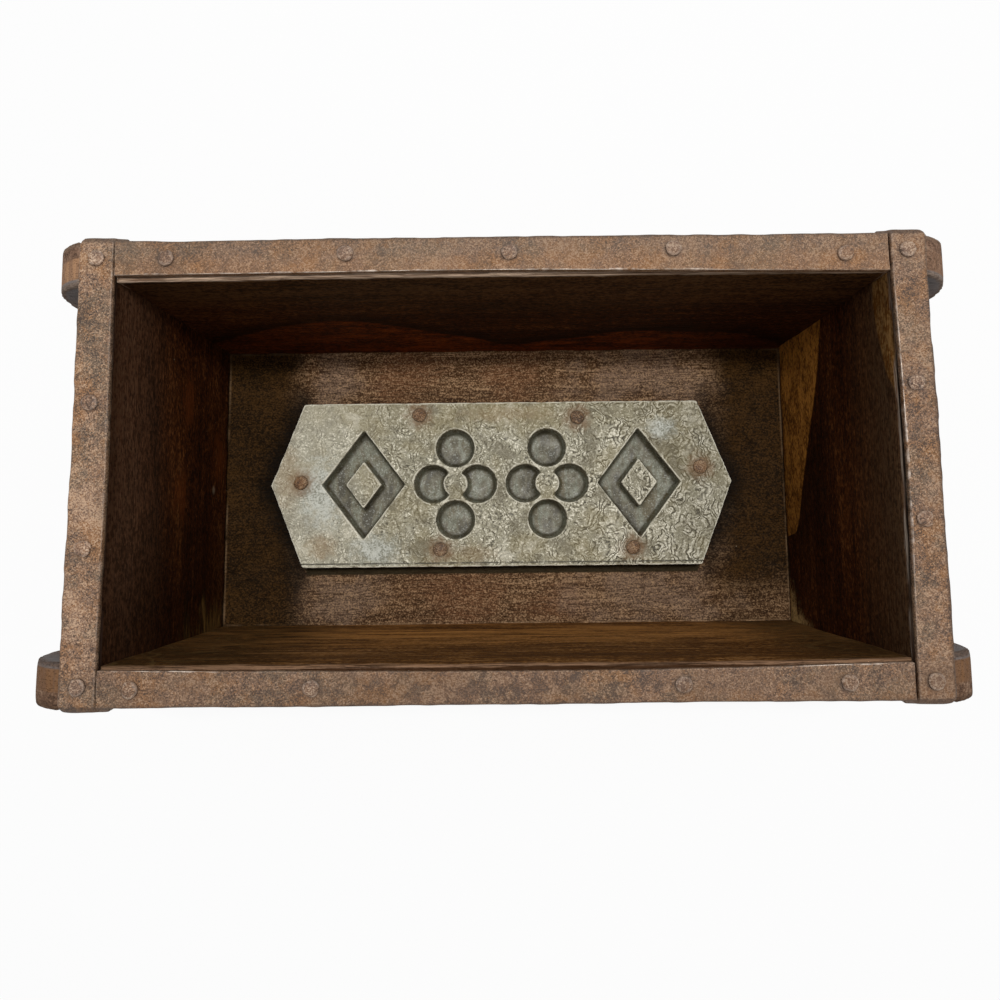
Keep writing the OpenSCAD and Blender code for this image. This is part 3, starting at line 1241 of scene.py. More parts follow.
@dataclass(frozen=True)
class FrontTimber(TimberFinish):
    """The front board: brown, with light streaks and a darker stretch below the rim."""

    dark: Colour = srgb(52, 30, 12)
    deep: Colour = srgb(94, 58, 26)
    plain: Colour = srgb(134, 91, 45)
    pale: Colour = srgb(168, 122, 75)
    light: Colour = srgb(194, 136, 74)
    low_dark: Colour = srgb(74, 46, 21)
    ends_dark: Colour = srgb(46, 32, 15)
    fibres: Colour = srgb(104, 82, 49)
    heart: Colour = srgb(124, 90, 62)
    weathered: Colour = srgb(110, 84, 66)
    rubbed: Colour = srgb(140, 108, 82)
    rubbed_dark: Colour = srgb(60, 42, 29)
    weights: tuple[float, float, float] = (0.2, 0.4, 0.4)
    spread: float = 0.15
    ledge_w: float = 1.3

    def features(self, g: Graph, at: Ground, grain: dict[str, Socket], colour: Socket) -> Socket:
        """Adds the lighter middle, the dark stretch near the rim, thin light lines and the corners' fibres.

        Args:
            g: The material's graph.
            at: The surface.
            grain: Figure, bands, fibre, pores and grit.
            colour: The timber's colour so far.

        Returns:
            The colour.
        """
        height = g.plus(at.z, g.around(grain["Figure"], 60.0))
        streaks = g.ease(g.weigh((grain["Fibre"], 0.5), (grain["Bands"], 0.5)), 0.4, 0.6)
        middle = g.times(g.ease(height, 14.0, 30.0), g.ease(height, 70.0, 46.0))
        colour = g.blend(g.times(middle, g.times(streaks, 0.8)), colour, self.light)
        dim = g.ease(height, 54.0, 80.0, 0, 0.75)
        colour = g.blend(g.times(dim, g.ease(streaks, 0.9, 0.2, 0.4, 1.0)), colour, self.low_dark)
        lines = g.ease(g.noise(g.stretch(at.place, (0.035, 1, 1.9)), 1, 2), 0.62, 0.7)
        colour = g.blend(g.times(lines, 0.6), colour, self.pale)
        wander = g.around(grain["Bands"], 60.0)
        along = g.plus(at.x, wander)
        ends = g.larger(g.ease(along, -50.0, -96.0, 0, 0.92), g.ease(along, 80.0, 114.0, 0, 0.9))
        ends = g.times(ends, g.ease(grain["Fibre"], 0.65, 0.35, 0.55, 1.0))
        colour = g.blend(ends, colour, self.ends_dark)
        flow = g.plus(g.times(at.z, 0.22), g.times(g.noise(at.place, 0.032, 2), 28.0))
        sweep = g.add("CombineXYZ", {0: g.times(at.x, 0.025), 1: flow}).outputs[0]
        curl = g.noise(sweep, 1, 4, 0.65)
        corner = g.ease(g.plus(g.size_of(at.x), g.times(curl, 24.0)), 98.0, 134.0)
        return g.blend(g.times(corner, g.ease(curl, 0.52, 0.6, 0.0, 0.6)), colour, self.fibres)


@dataclass(frozen=True)
class LeftTimber(TimberFinish):
    """The left end board: dark, with reddish patches, a small knot and yellow fibres in one corner."""

    red: Colour = srgb(112, 56, 22)
    yellow: Colour = srgb(128, 98, 52)
    rim_grey: Colour = srgb(103, 73, 53)
    rubbed: Colour = srgb(84, 64, 54)
    rubbed_dark: Colour = srgb(44, 32, 28)
    arris: float = 0.45
    reddish: tuple[Point, ...] = ((-127, 33, 48), (-127, -6, 54), (-127, 12, 22))
    red_reach: Point = (20, 14, 7)
    knot: tuple[Point, Point] = ((-127, -2, 27), (9, 2.6, 1.8))
    fibres: tuple[Point, Point] = ((-127, -62, 18), (20, 17, 30))

    def features(self, g: Graph, at: Ground, grain: dict[str, Socket], colour: Socket) -> Socket:
        """Adds the red patches, the knot, the yellow corner and the greyer rim.

        Args:
            g: The material's graph.
            at: The surface.
            grain: Figure, bands, fibre, pores and grit.
            colour: The timber's colour so far.

        Returns:
            The colour.
        """
        ragged = g.around(grain["Bands"], 2.4)
        for centre in self.reddish:
            patch = g.spot(at.place, centre, self.red_reach, ragged)
            colour = g.blend(g.times(patch, 0.45), colour, self.red)
        colour = g.blend(g.ease(at.y, 14.0, -50.0, 0, 0.5), colour, self.dark)
        knot = g.spot(at.place, *self.knot)
        colour = g.blend(g.times(knot, 0.35), colour, self.dust)
        corner = g.spot(at.place, *self.fibres, ragged)
        colour = g.blend(g.times(corner, g.ease(grain["Fibre"], 0.4, 0.6, 0.1, 0.8)), colour, self.yellow)
        fine = g.weigh((grain["Grit"], 0.6), (grain["Bands"], 0.4))
        high = g.times(g.ease(at.z, 54.0, 92.0), g.ease(at.y, -70.0, -10.0, 0.35, 1.0))
        return g.blend(g.times(high, g.ease(fine, 0.3, 0.7, 0.3, 1.0)), colour, self.rim_grey)


@dataclass(frozen=True)
class RightTimber(TimberFinish):
    """The right end board: nearly black heartwood with two wedges of golden sapwood."""

    gold: Colour = srgb(198, 134, 60)
    gold_dark: Colour = srgb(98, 59, 20)
    corner: Colour = srgb(214, 178, 118)
    high: Colour = srgb(146, 110, 66)
    rim_grey: Colour = srgb(84, 62, 42)
    rubbed: Colour = srgb(134, 122, 110)
    arris: float = 0.55
    black: tuple[Point, Point] = ((127, -6, 32), (20, 50, 32))
    low_line: Line = (
        (-130, 8), (-40, 8), (-27, 9), (-24.5, 17), (-22, 24.4), (-4.7, 30.8), (16, 38.4), (41.8, 47.8),
        (62, 52.4), (130, 60),
    )  # fmt: skip
    corner_line: Line = (
        (-130, 32), (-62, 31), (-60, 28), (-57, 23), (-52, 19), (-45, 15.5), (-38, 8), (130, 6),
    )  # fmt: skip
    high_line: Line = (
        (-130, 99), (10, 99), (22, 96), (29.8, 92.1), (40.1, 89.6), (52.5, 87.3), (62, 87.4), (130, 87),
    )  # fmt: skip

    def features(self, g: Graph, at: Ground, grain: dict[str, Socket], colour: Socket) -> Socket:
        """Adds the sapwood wedges, the pale corner and the greyer rim.

        Args:
            g: The material's graph.
            at: The surface.
            grain: Figure, bands, fibre, pores and grit.
            colour: The timber's colour so far.

        Returns:
            The colour.
        """
        fine = g.weigh((grain["Grit"], 0.6), (grain["Bands"], 0.4))
        colour = g.blend(g.times(g.spot(at.place, *self.black), 0.55), colour, self.dark)
        high = g.times(g.ease(at.z, 64.0, 94.0), g.ease(fine, 0.3, 0.7, 0.3, 1.0))
        colour = g.blend(high, colour, self.rim_grey)
        mottle = g.noise(g.stretch(at.place, (0.25, 0.09, 0.25)), 1, 5, 0.7)
        streaks = g.weigh((mottle, 0.5), (grain["Fibre"], 0.25), (grain["Grit"], 0.25))
        golden = g.blend(g.ease(streaks, 0.38, 0.6), self.gold_dark, self.gold)
        fading = g.ease(at.y, -26.0, 20.0, 0.7, 1.0)
        colour = g.blend(g.times(g.below(at.y, at.z, self.low_line, 0.7), fading), colour, golden)
        patch = g.below(at.y, g.plus(at.z, g.around(streaks, 40.0)), self.corner_line, 3.0)
        colour = g.blend(g.times(patch, g.ease(streaks, 0.38, 0.54, 0.15, 0.9)), colour, self.corner)
        top = g.minus(1.0, g.below(at.y, at.z, self.high_line, 0.6))
        high = g.blend(g.ease(streaks, 0.4, 0.6), self.gold_dark, self.high)
        return g.blend(g.times(top, 0.9), colour, high)


@dataclass(frozen=True)
class IronFinish(Finish):
    """Rusted wrought iron, handled until its edges shine a little, with painted highlights on some edges."""

    dark: Colour = srgb(60, 47, 39)
    base: Colour = srgb(132, 104, 84)
    bloom: Colour = srgb(192, 160, 132)
    orange: Colour = srgb(154, 108, 66)
    violet: Colour = srgb(116, 98, 80)
    dim: Colour = srgb(78, 54, 34)
    rubbed: Colour = srgb(204, 188, 174)
    cluster: tuple[Point, Point] = ((-8, -71, 98), (90, 14, 20))
    # Spots where painted highlights lie on the worn inner edges.
    glints: tuple[tuple[Point, Point], ...] = (
        ((-104, -63, 99), (22, 4, 6)),
        ((104, -63, 99), (22, 4, 6)),
        ((127, 8, 99), (4, 60, 6)),
        ((-20, 63, 99), (150, 2, 6)),
    )
    pits: float = 0.25
    rubbing: float = 0.15
    # Strength of the painted shade along the outer edges.
    outer_edge_shade: float = 0.7
    inner_x: float = 127.0
    outer_x: float = 138.2
    outer_y: float = 74.5
    top_z: float = 97.4
    gloss: float = 0.3

    def paint(self, g: Graph, at: Ground) -> dict[str, object]:
        """Adds the rust skin, the rear strap's two tones, the rubbed edges, painted highlights, and painted
        shade at the outer edges and round the nails.

        Args:
            g: The material's graph.
            at: The surface.

        Returns:
            The shader's inputs by name.
        """
        values = {
            "Vector": at.place,
            "Dark": self.dark,
            "Base": self.base,
            "Bloom": self.bloom,
            "Orange": self.orange,
            "Violet": self.violet,
            "Darkness": g.spot(at.place, *self.cluster),
        }
        rust = g.use(self.effects.rust, values)
        patches = g.noise(at.place, 0.05, 3)
        dim = g.plus(g.ease(at.x, -125.0, -131.0, 0.5, 0.0), g.ease(at.y, -60.0, -66.0, 0.0, 0.45))
        dim = g.times(dim, g.ease(patches, 0.35, 0.65, 0.25, 0.6))
        colour = g.blend(dim, rust["Colour"], self.dim)
        halves = g.blend(g.ease(at.y, 65.0, 71.0), self.orange, self.violet)
        between = g.ease(g.size_of(at.x), self.inner_x, self.inner_x - 1.0)
        colour = g.blend(g.times(g.ease(at.y, 60.0, 62.0, 0, 0.2), between), colour, halves)
        values = {"Edge": at.edge, "Vector": at.place, "Start": 0.35, "Size": 2.5, "Raggedness": 0.9}
        worn = g.use(self.effects.worn, values)[0]
        shine = self.rubbing
        # Painted highlights: in the glint spots the worn edge turns pale, on top of the real rubbed metal.
        for centre, reach in self.glints:
            shine = g.plus(shine, g.times(g.spot(at.place, centre, reach), 0.85))
        shine = g.math("MINIMUM", g.times(worn, shine), 1.0)
        colour = g.blend(shine, colour, self.rubbed)
        colour = g.blend(g.ease(at.edge, -0.12, -0.6, 0, 0.85), colour, self.dark)
        # Painted shade along the straps' outer edges.
        past_y = g.ease(g.size_of(at.y), self.outer_y - 1.2, self.outer_y)
        past_x = g.ease(g.size_of(at.x), self.outer_x - 1.3, self.outer_x)
        on_top = g.ease(at.z, self.top_z - 1.0, self.top_z, 0, self.outer_edge_shade)
        outer = g.times(g.larger(past_y, past_x), on_top)
        colour = g.blend(outer, colour, self.dark)
        # Painted shadow round each nail head, heaviest to the front and left.
        colour = g.blend(g.times(g.layer(Layer.NAIL), 0.85), colour, self.dark)
        return {
            "Base Color": colour,
            "Roughness": g.lerp(shine, rust["Roughness"], 0.38),
            "Metallic": g.times(shine, 0.5),
            "Specular IOR Level": self.gloss,
            "Normal": self.bump(g, rust["Height"], self.pits),
        }


@dataclass(frozen=True)
class CastFinish(Finish):
    """Rough grey casting with wrinkled ground and smooth recesses, stained round its nails."""

    top_z: float
    middle: tuple[float, float]
    half_w: float
    valley: Colour = srgb(62, 57, 44)
    ground: Colour = srgb(150, 144, 121)
    ridge: Colour = srgb(230, 224, 204)
    calm: Colour = srgb(206, 208, 198)
    calm_dark: Colour = srgb(124, 126, 114)
    grime: Colour = srgb(106, 98, 76)
    recess: Colour = srgb(106, 100, 80)
    recess_dark: Colour = srgb(70, 65, 50)
    recess_blue: Colour = srgb(122, 123, 106)
    recess_olive: Colour = srgb(98, 89, 64)
    olive: Colour = srgb(138, 124, 84)
    rust: Colour = srgb(118, 88, 58)
    ochre: Colour = srgb(146, 116, 74)
    shade: Colour = srgb(48, 44, 32)
    line_gap: float = 3.2
    groove_y: float = 1.7
    gloss: float = 0.3
    wrinkle_d: float = 0.28
    calms: tuple[tuple[Point, Point], ...] = (
        ((-81, -4, 23), (15, 22, 20)),
        ((-57, -29, 23), (16, 9, 20)),
        ((70, 24, 23), (9, 7, 20)),
    )
    stains: tuple[tuple[Point, Point, float], ...] = (
        ((-81, -27, 23), (9, 8, 20), 0.5),
        ((-97, 4, 23), (9, 22, 20), 0.4),
        ((-14, -31, 23), (14, 6, 20), 0.3),
        ((2, 31, 23), (30, 5, 20), 0.3),
    )

    def worms(self, g: Graph, at: Ground, grit: Socket, calm: Socket) -> Socket:
        """Draws the wrinkles as broken contour lines, strongest at the right end.

        Args:
            g: The material's graph.
            at: The surface.
            grit: Fine noise.
            calm: Mask of the smoothest ground.

        Returns:
            A value of 0.5 on smooth ground, 1 on a ridge and 0 in a furrow.
        """
        flat = g.stretch(at.place, (1, 1, 0))
        swirl = g.add("TexNoise", {"Vector": flat, "Scale": 0.13, "Detail": 2.0}).outputs["Color"]
        shift = g.plus_vector(swirl, (-0.5, -0.5, -0.5))
        shift = g.add("VectorMath", {0: shift, "Scale": 10.0}, operation="SCALE").outputs[0]
        level = g.noise(g.plus_vector(flat, shift), 0.09, 2, 0.5)
        phase = g.plus(g.times(at.x, 0.45), g.times(level, 17.0))
        wave = g.size_of(g.math("SINE", g.times(phase, 2 * math.pi / self.line_gap)))
        furrow = g.ease(wave, 0.05, 0.75, -1.0, 0.45)
        broken = g.ease(g.noise(g.stretch(flat, (1, 1, 1), (40, 9, 0)), 0.16, 4, 0.7), 0.38, 0.54)
        rough = g.minus(1.0, g.times(calm, 0.75))
        right = g.ease(at.x, self.middle[0] + 20, self.middle[0] + 62, 0.5, 1.0)
        marks = g.times(g.times(furrow, broken), g.times(right, rough))
        speckle = g.times(g.around(grit, 1.35), rough)
        return g.plus(0.5, g.times(g.plus(marks, speckle), 0.5))

    def paint(self, g: Graph, at: Ground) -> dict[str, object]:
        """Adds the wrinkles, the recesses' soft blotches, the stains and the worn rims.

        Args:
            g: The material's graph.
            at: The surface.

        Returns:
            The shader's inputs by name.
        """
        x0, y0 = self.middle
        mottle = g.noise(at.place, 0.3, 4, 0.6)
        grit = g.use(self.effects.grit, {"Vector": at.place, "Size": 0.7})["Grain"]
        cloud = g.noise(at.place, 0.045, 3)
        ragged = g.around(mottle, 1.4)
        calm = g.spot(at.place, *self.calms[0], ragged)
        for centre, reach in self.calms[1:]:
            calm = g.larger(calm, g.spot(at.place, centre, reach, ragged))
        worms = self.worms(g, at, grit, calm)
        stops = ((0.12, self.valley), (0.44, self.ground), (0.56, self.ground), (0.85, self.ridge))
        ground = g.ramp(worms, stops)
        ground = g.blend(g.ease(cloud, 0.48, 0.62, 0, 0.4), ground, self.olive)
        rear = g.ease(g.plus(at.y, g.times(mottle, 10.0)), y0 + 24, y0 + 36)
        ground = g.blend(g.times(rear, 0.3), ground, self.olive)
        grime = g.noise(g.stretch(at.place, (1, 1, 1), (5, 83, 0)), 0.085, 5, 0.65)
        ground = g.blend(g.ease(grime, 0.5, 0.36, 0, 0.65), ground, self.grime)
        ground = g.blend(g.ease(grime, 0.54, 0.7, 0, 0.4), ground, self.ridge)
        ground = g.blend(g.ease(at.x, x0 - 46, x0 - 84, 0, 0.25), ground, self.ridge)
        ground = g.blend(g.ease(at.x, x0 + 40, x0 + 88, 0, 0.3), ground, self.grime)
        upright = g.noise(g.stretch(at.place, (0.13, 0.05, 0.1)), 1, 4, 0.6)
        fine = g.weigh((upright, 0.6), (grit, 0.4))
        smooth = g.blend(g.ease(fine, 0.36, 0.62), self.calm_dark, self.calm)
        ground = g.blend(g.times(calm, 0.75), ground, smooth)
        tones = (self.recess_dark, self.recess, self.recess_blue, self.recess_olive)
        floor = g.ramp(upright, tuple(zip((0.38, 0.46, 0.54, 0.62), tones)))
        floor = g.blend(g.ease(mottle, 0.5, 0.64, 0, 0.35), floor, self.recess_dark)
        floor = g.blend(g.ease(grit, 0.45, 0.1, 0, 0.6), floor, self.recess_dark)
        floor = g.blend(g.ease(grit, 0.6, 0.95, 0, 0.4), floor, self.calm)
        below = g.ease(at.z, self.top_z - 0.7, self.top_z - 1.7)
        colour = g.blend(below, ground, floor)
        colour = g.blend(g.ease(at.hollow, -0.2, -1.0, 0, 0.8), colour, self.shade)
        stain = g.plus(g.layer(Layer.NAIL), g.around(mottle, 1.2))
        colour = g.blend(g.ease(stain, 0.15, 0.9, 0, 0.75), colour, self.rust)
        colour = g.blend(g.ease(g.layer(Layer.NAIL), 0.74, 0.82, 0, 0.75), colour, self.shade)
        for centre, reach, share in self.stains:
            colour = g.blend(g.times(g.spot(at.place, centre, reach, ragged), share), colour, self.ochre)
        values = {"Edge": at.edge, "Vector": at.place, "Start": 0.2, "Size": 3.0, "Raggedness": 0.5}
        worn = g.use(self.effects.worn, values)[0]
        colour = g.blend(g.times(worn, 0.8), colour, self.ridge)
        raised = g.minus(1.0, below)
        from_front = g.size_of(g.minus(at.y, y0 - self.half_w + self.groove_y))
        groove = g.times(g.ease(from_front, 0.45, 0.2), g.ease(mottle, 0.36, 0.5, 0.3, 0.9))
        colour = g.blend(g.times(groove, raised), colour, self.valley)
        under = g.ease(at.z, self.top_z - 1.6, self.top_z - 3.0)
        past_y = g.ease(g.size_of(g.minus(at.y, y0)), 29.0, 33.0)
        past_x = g.ease(g.size_of(g.minus(at.x, x0)), 82.0, 86.0)
        colour = g.blend(g.times(g.times(under, g.larger(past_x, past_y)), 0.8), colour, self.shade)
        height = g.plus(g.times(worms, raised), g.times(mottle, 0.5))
        return {
            "Base Color": colour,
            "Roughness": g.ease(mottle, 0.3, 0.7, 0.42, 0.6),
            "Metallic": g.times(g.ease(worms, 0.5, 0.9), g.times(raised, 0.12)),
            "Specular IOR Level": self.gloss,
            "Normal": self.bump(g, height, self.wrinkle_d),
        }


@dataclass
class Boards:
    """The five boards of the box."""

    sizes: Sizes
    effects: Effects
    voxel: float = 0.9 * MM
    most_faces: int = 110_000
    ear_r: float = 21 * MM
    ear_steps: int = 14
    ear_swell: float = 2.8 * MM
    ear_shift: float = 1.1 * MM
    ear_stretch: float = 2.4 * MM
    ear_rise: float = 2.5 * MM
    sway_depth: float = 9 * MM
    sway_reach: float = 4 * MM
    rim_sway: dict[Side | End, Sway] = field(
        default_factory=lambda: {
            Side.REAR: Sway((-0.8, -0.2, 0.4, 0.5, 0.5, 0.5, 0.4, 0.3)),
            Side.FRONT: Sway((-0.1, 0.2, 0.4, 0.6, 0.9, 1.0, 0.5, -0.3)),
            End.LEFT: Sway((-0.3, 0.2, 0.4, 0.1, 0.3)),
            End.RIGHT: Sway((0.1, 0.3, 0.5, 0.3, -0.1)),
        }
    )

    def build(self) -> None:
        """Makes and dresses every board."""
        for side in Side:
            self.side_board(side)
        for end in End:
            self.end_board(end)
        self.floor_board()

    def weather(self, obj: Piece) -> None:
        """Gives a board its even mesh, its slight unevenness and its worn edges."""
        Bench.refine(obj, self.voxel)
        Bench.unsettle(obj, size=50 * MM, height=0.5 * MM)
        Bench.wear_edges(obj, depth=0.5 * MM, size=16 * MM, rounds=5, reach=0.4 * MM)
        Bench.store(obj, Layer.HOLLOW, Bench.relief(obj, rounds=14, reach=0.5 * MM))

    def sway_rim(self, obj: Piece, wall: Side | End) -> None:
        """Lets the inner edge of a board's rim wander as years of striking off have worn it.

        Args:
            obj: The board.
            wall: Which board.
        """
        s = self.sizes
        places = Bench.points(obj)
        if isinstance(wall, Side):
            across, along, face, reach = 1, 0, s.half_w, s.half_l
        else:
            across, along, face, reach = 0, 1, s.half_l, s.half_w
        depth = np.clip(1 - (s.rim_z - places[:, 2]) / self.sway_depth, 0, 1)
        near = np.clip(1 - (abs(places[:, across]) - face) / self.sway_reach, 0, 1)
        shift = self.rim_sway[wall].at(places[:, along], -reach, reach)
        places[:, across] += wall.value * shift * depth**2 * near
        Bench.move_points(obj, places)

    def swell_ears(self, obj: Piece, side: Side) -> None:
        """Makes the ears slightly thicker than the board, and the front left one longer.

        Args:
            obj: The board.
            side: Which board.
        """
        s = self.sizes
        places = Bench.points(obj)
        past = np.clip((abs(places[:, 0]) - s.end_x) / self.ear_rise, 0, 1)
        outer = np.clip((abs(places[:, 1]) - s.half_w) / (s.outer_y - s.half_w), 0, 1)
        places[:, 1] += side.value * past * (self.ear_swell * outer - self.ear_shift)
        if side is Side.FRONT:
            share = np.clip((-places[:, 0] - s.end_x) / (s.ear_x - s.end_x), 0, 1)
            places[:, 0] -= self.ear_stretch * share
        Bench.move_points(obj, places)

    def side_board(self, side: Side) -> None:
        """Makes the front or rear board, with rounded ears and a housing for each end board.

        Args:
            side: Which board.
        """
        s = self.sizes
        name = side.name.lower()
        inner, outer = sorted((side.value * s.half_w, side.value * s.outer_y))
        board = Bench.block(f"{name}_board_timber", (-s.ear_x, inner, s.floor_z), (s.ear_x, outer, s.rim_z))
        Bench.pick(board, "EDGE", lambda a, b: abs(a.x - b.x) < MM and abs(a.z - b.z) < MM)
        bpy.ops.mesh.bevel(offset=self.ear_r, segments=self.ear_steps, affect="EDGES")
        for end in End:
            near, far = sorted((end.value * s.half_l, end.value * s.end_x))
            low_y, high_y = sorted((side.value * (s.half_w - MM), side.value * s.housing_y))
            housing = Bench.block("housing", (near, low_y, s.floor_z - MM), (far, high_y, s.rim_z + MM))
            Bench.combine(board, housing, "DIFFERENCE")
        self.weather(board)
        self.sway_rim(board, side)
        self.swell_ears(board, side)
        Bench.thin_out(board, self.most_faces)
        kind, seed = (RearTimber, 31) if side is Side.REAR else (FrontTimber, 77)
        finish = kind(f"{side.name.title()} board timber", self.effects, s, seed=seed)
        Bench.hand_over(board, finish.build(), f"{name}_wood", f"{name}_board")

    def end_board(self, end: End) -> None:
        """Makes the left or right end board, with its edges in the housings.

        Args:
            end: Which board.
        """
        s = self.sizes
        name = end.name.lower()
        near, far = sorted((end.value * s.half_l, end.value * s.end_x))
        low, high = (near, -s.housing_y, s.floor_z), (far, s.housing_y, s.rim_z)
        board = Bench.block(f"{name}_end_board_timber", low, high)
        self.weather(board)
        self.sway_rim(board, end)
        Bench.thin_out(board, self.most_faces)
        kind = LeftTimber if end is End.LEFT else RightTimber
        title = f"{end.name.title()} end timber"
        finish = kind(title, self.effects, s, Grain.ALONG_Y, seed=57.0 * end.value)
        Bench.hand_over(board, finish.build(), f"{name}_end_wood", f"{name}_end_board")

    def floor_board(self) -> None:
        """Makes the bottom board."""
        s = self.sizes
        low, high = (-s.end_x, -s.outer_y, 0), (s.end_x, s.outer_y, s.floor_z)
        board = Bench.block("bottom_board_timber", low, high)
        self.weather(board)
        places = Bench.points(board)
        places[:, 2] = np.maximum(places[:, 2], 0)
        Bench.move_points(board, places)
        Bench.thin_out(board, self.most_faces)
        finish = FloorTimber("Floor timber", self.effects, s, seed=11)
        Bench.hand_over(board, finish.build(), "floor_wood", "bottom_board")


@dataclass
class Straps:
    """The four iron straps round the rim."""

    sizes: Sizes
    effects: Effects
    nails: list[Vector]
    voxel: float = 0.5 * MM
    most_faces: int = 120_000
    bend_r: float = 2 * MM
    gap: float = 0.6 * MM
    flare_h: float = 18 * MM
    head_r: float = 2.6 * MM
    corner_l: float = 1.8 * MM
    corner_h: float = 1.4 * MM
    corner_w: float = 5 * MM
    rim_fade: float = 6 * MM
    ring_w: float = 0.6 * MM
    # Least darkness of the painted shade ring round a nail head.
    least_shade: float = 0.35
    overlap: float = 0.05 * MM
    tongue_h: float = 0.9 * MM
    inner_sway: dict[Side | End, Sway] = field(
        default_factory=lambda: {
            Side.REAR: Sway((-0.2, 0.0, 0.1, 0.4, 0.2, -0.3, -0.8, -1.2)),
            Side.FRONT: Sway((-0.1, 0.5, 0.9, 1.3, 1.4, 1.3, 0.6, -0.3)),
            End.LEFT: Sway((-0.3, -0.3, -0.5, -0.7, -0.8, -0.7, -0.5, -0.3, -0.3)),
            End.RIGHT: Sway((0.0, 0.1, 0.5, 0.8, 0.9, 0.8, 0.5, 0.1, 0.0)),
        }
    )
    outer_sway: dict[Side | End, Sway] = field(
        default_factory=lambda: {
            Side.REAR: Sway((0.0, -0.5, 0.2, -0.1, 0.1, 0.0, -0.3, 0.0)),
            Side.FRONT: Sway((0.0, -0.2, 0.1, -0.2, 0.0, -0.3, -0.1, 0.0)),
            End.LEFT: Sway((-0.3, -0.1, -0.5, -0.9, -0.4, -0.6)),
            End.RIGHT: Sway((0.3, 0.5, 0.2, 0.6, -0.2, 0.1)),
        }
    )

    def build(self) -> None:
        """Makes and dresses every strap."""
        material = IronFinish("Strap iron", self.effects).build()
        for side in Side:
            self.side_strap(side, material)
        for end in End:
            self.end_strap(end, material)

    def forge(self, obj: Piece, wall: Side | End, material: Material, name: str) -> None:
        """Gives a strap its even mesh, wandering edges, sloped corners, hammered face and worn arrises.

        Args:
            obj: The strap.
            wall: Which strap.
            material: The iron.
            name: The CAD node.
        """
        s = self.sizes
        Bench.refine(obj, self.voxel, smooth=1)
        Bench.unsettle(obj, size=14 * MM, height=0.35 * MM)
        places = Bench.points(obj)
        if isinstance(wall, Side):
            across, along, inner, outer, reach = 1, 0, s.half_w + MM, s.outer_y, s.half_l
        else:
            across, along, inner, outer, reach = 0, 1, s.half_l, s.end_x, s.outer_y
        part = np.clip((abs(places[:, across]) - inner) / (outer - inner), 0, 1)
        inward = self.inner_sway[wall].at(places[:, along], -reach, reach)
        outward = self.outer_sway[wall].at(places[:, along], -reach, reach)
        on_rim = np.clip(1 + (places[:, 2] - s.rim_z) / self.rim_fade, 0, 1)
        places[:, across] += wall.value * (inward * (1 - part) + outward * part) * on_rim
        if isinstance(wall, End):
            past = np.clip((abs(places[:, 1]) - s.outer_y) / self.corner_h, 0, 1)
            near = np.clip(1 + (abs(places[:, 0]) - s.end_x) / self.corner_w, 0, 1)
            places[:, 0] -= wall.value * self.corner_l * past * near
        Bench.move_points(obj, places)
        Bench.wear_edges(obj, depth=0.25 * MM, size=6 * MM, rounds=4, reach=0.25 * MM)
        self.mark_nails(obj)
        Bench.thin_out(obj, self.most_faces)
        Bench.hand_over(obj, material, "strap_iron", name)

    def mark_nails(self, obj: Piece) -> None:
        """Stores a ring of painted shade round each nail head, heaviest to the front and left where its
        shadow falls.

        Args:
            obj: The strap.
        """
        places = Bench.points(obj)
        ring = np.zeros(len(places))
        for nail in self.nails:
            offset = places - np.array(nail)
            away = np.linalg.norm(offset, axis=1)
            back_right = (offset[:, 0] + offset[:, 1]) / math.sqrt(2)
            front_left = 0.5 - 0.5 * back_right / np.maximum(away, 0.1 * MM)
            band = np.exp(-(((away - self.head_r) / self.ring_w) ** 2))
            ring = np.maximum(ring, band * (self.least_shade + (1 - self.least_shade) * front_left))
        Bench.store(obj, Layer.NAIL, ring)

    def side_strap(self, side: Side, material: Material) -> None:
        """Makes the front or rear strap.

        Args:
            side: Which strap.
            material: The iron.
        """
        name = f"{side.name.lower()}_strap"
        low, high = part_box(name)
        self.forge(Bench.block(f"{name}_iron", low, high), side, material, name)

    def end_strap(self, end: End, material: Material) -> None:
        """Makes the left or right strap, with a leg bent down over each side board.

        Args:
            end: Which strap.
            material: The iron.
        """
        s = self.sizes
        name = f"{end.name.lower()}_strap"
        low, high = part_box(name)
        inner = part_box("rear_strap")[1].x + self.gap
        spread = min(abs(low.x), abs(high.x))
        near, far = sorted((end.value * inner, end.value * s.end_x))
        strap = Bench.block(f"{name}_iron", (near, low.y, s.rim_z), (far, high.y, high.z))
        for side in Side:
            leg = self.leg(end, side, inner, high.y - s.outer_y, low.z, inner - spread)
            Bench.combine(strap, leg, "UNION")

        def is_outer_bend(start: Vector, stop: Vector) -> bool:
            """Says whether an edge is the outside of a bend."""
            at_top = min(start.z, stop.z) > s.strap_z - MM / 10
            return at_top and abs(start.y - stop.y) < MM / 10 and abs(start.y) > s.outer_y

        Bench.pick(strap, "EDGE", is_outer_bend)
        bpy.ops.mesh.bevel(offset=self.bend_r, segments=5, affect="EDGES")
        self.forge(strap, end, material, name)

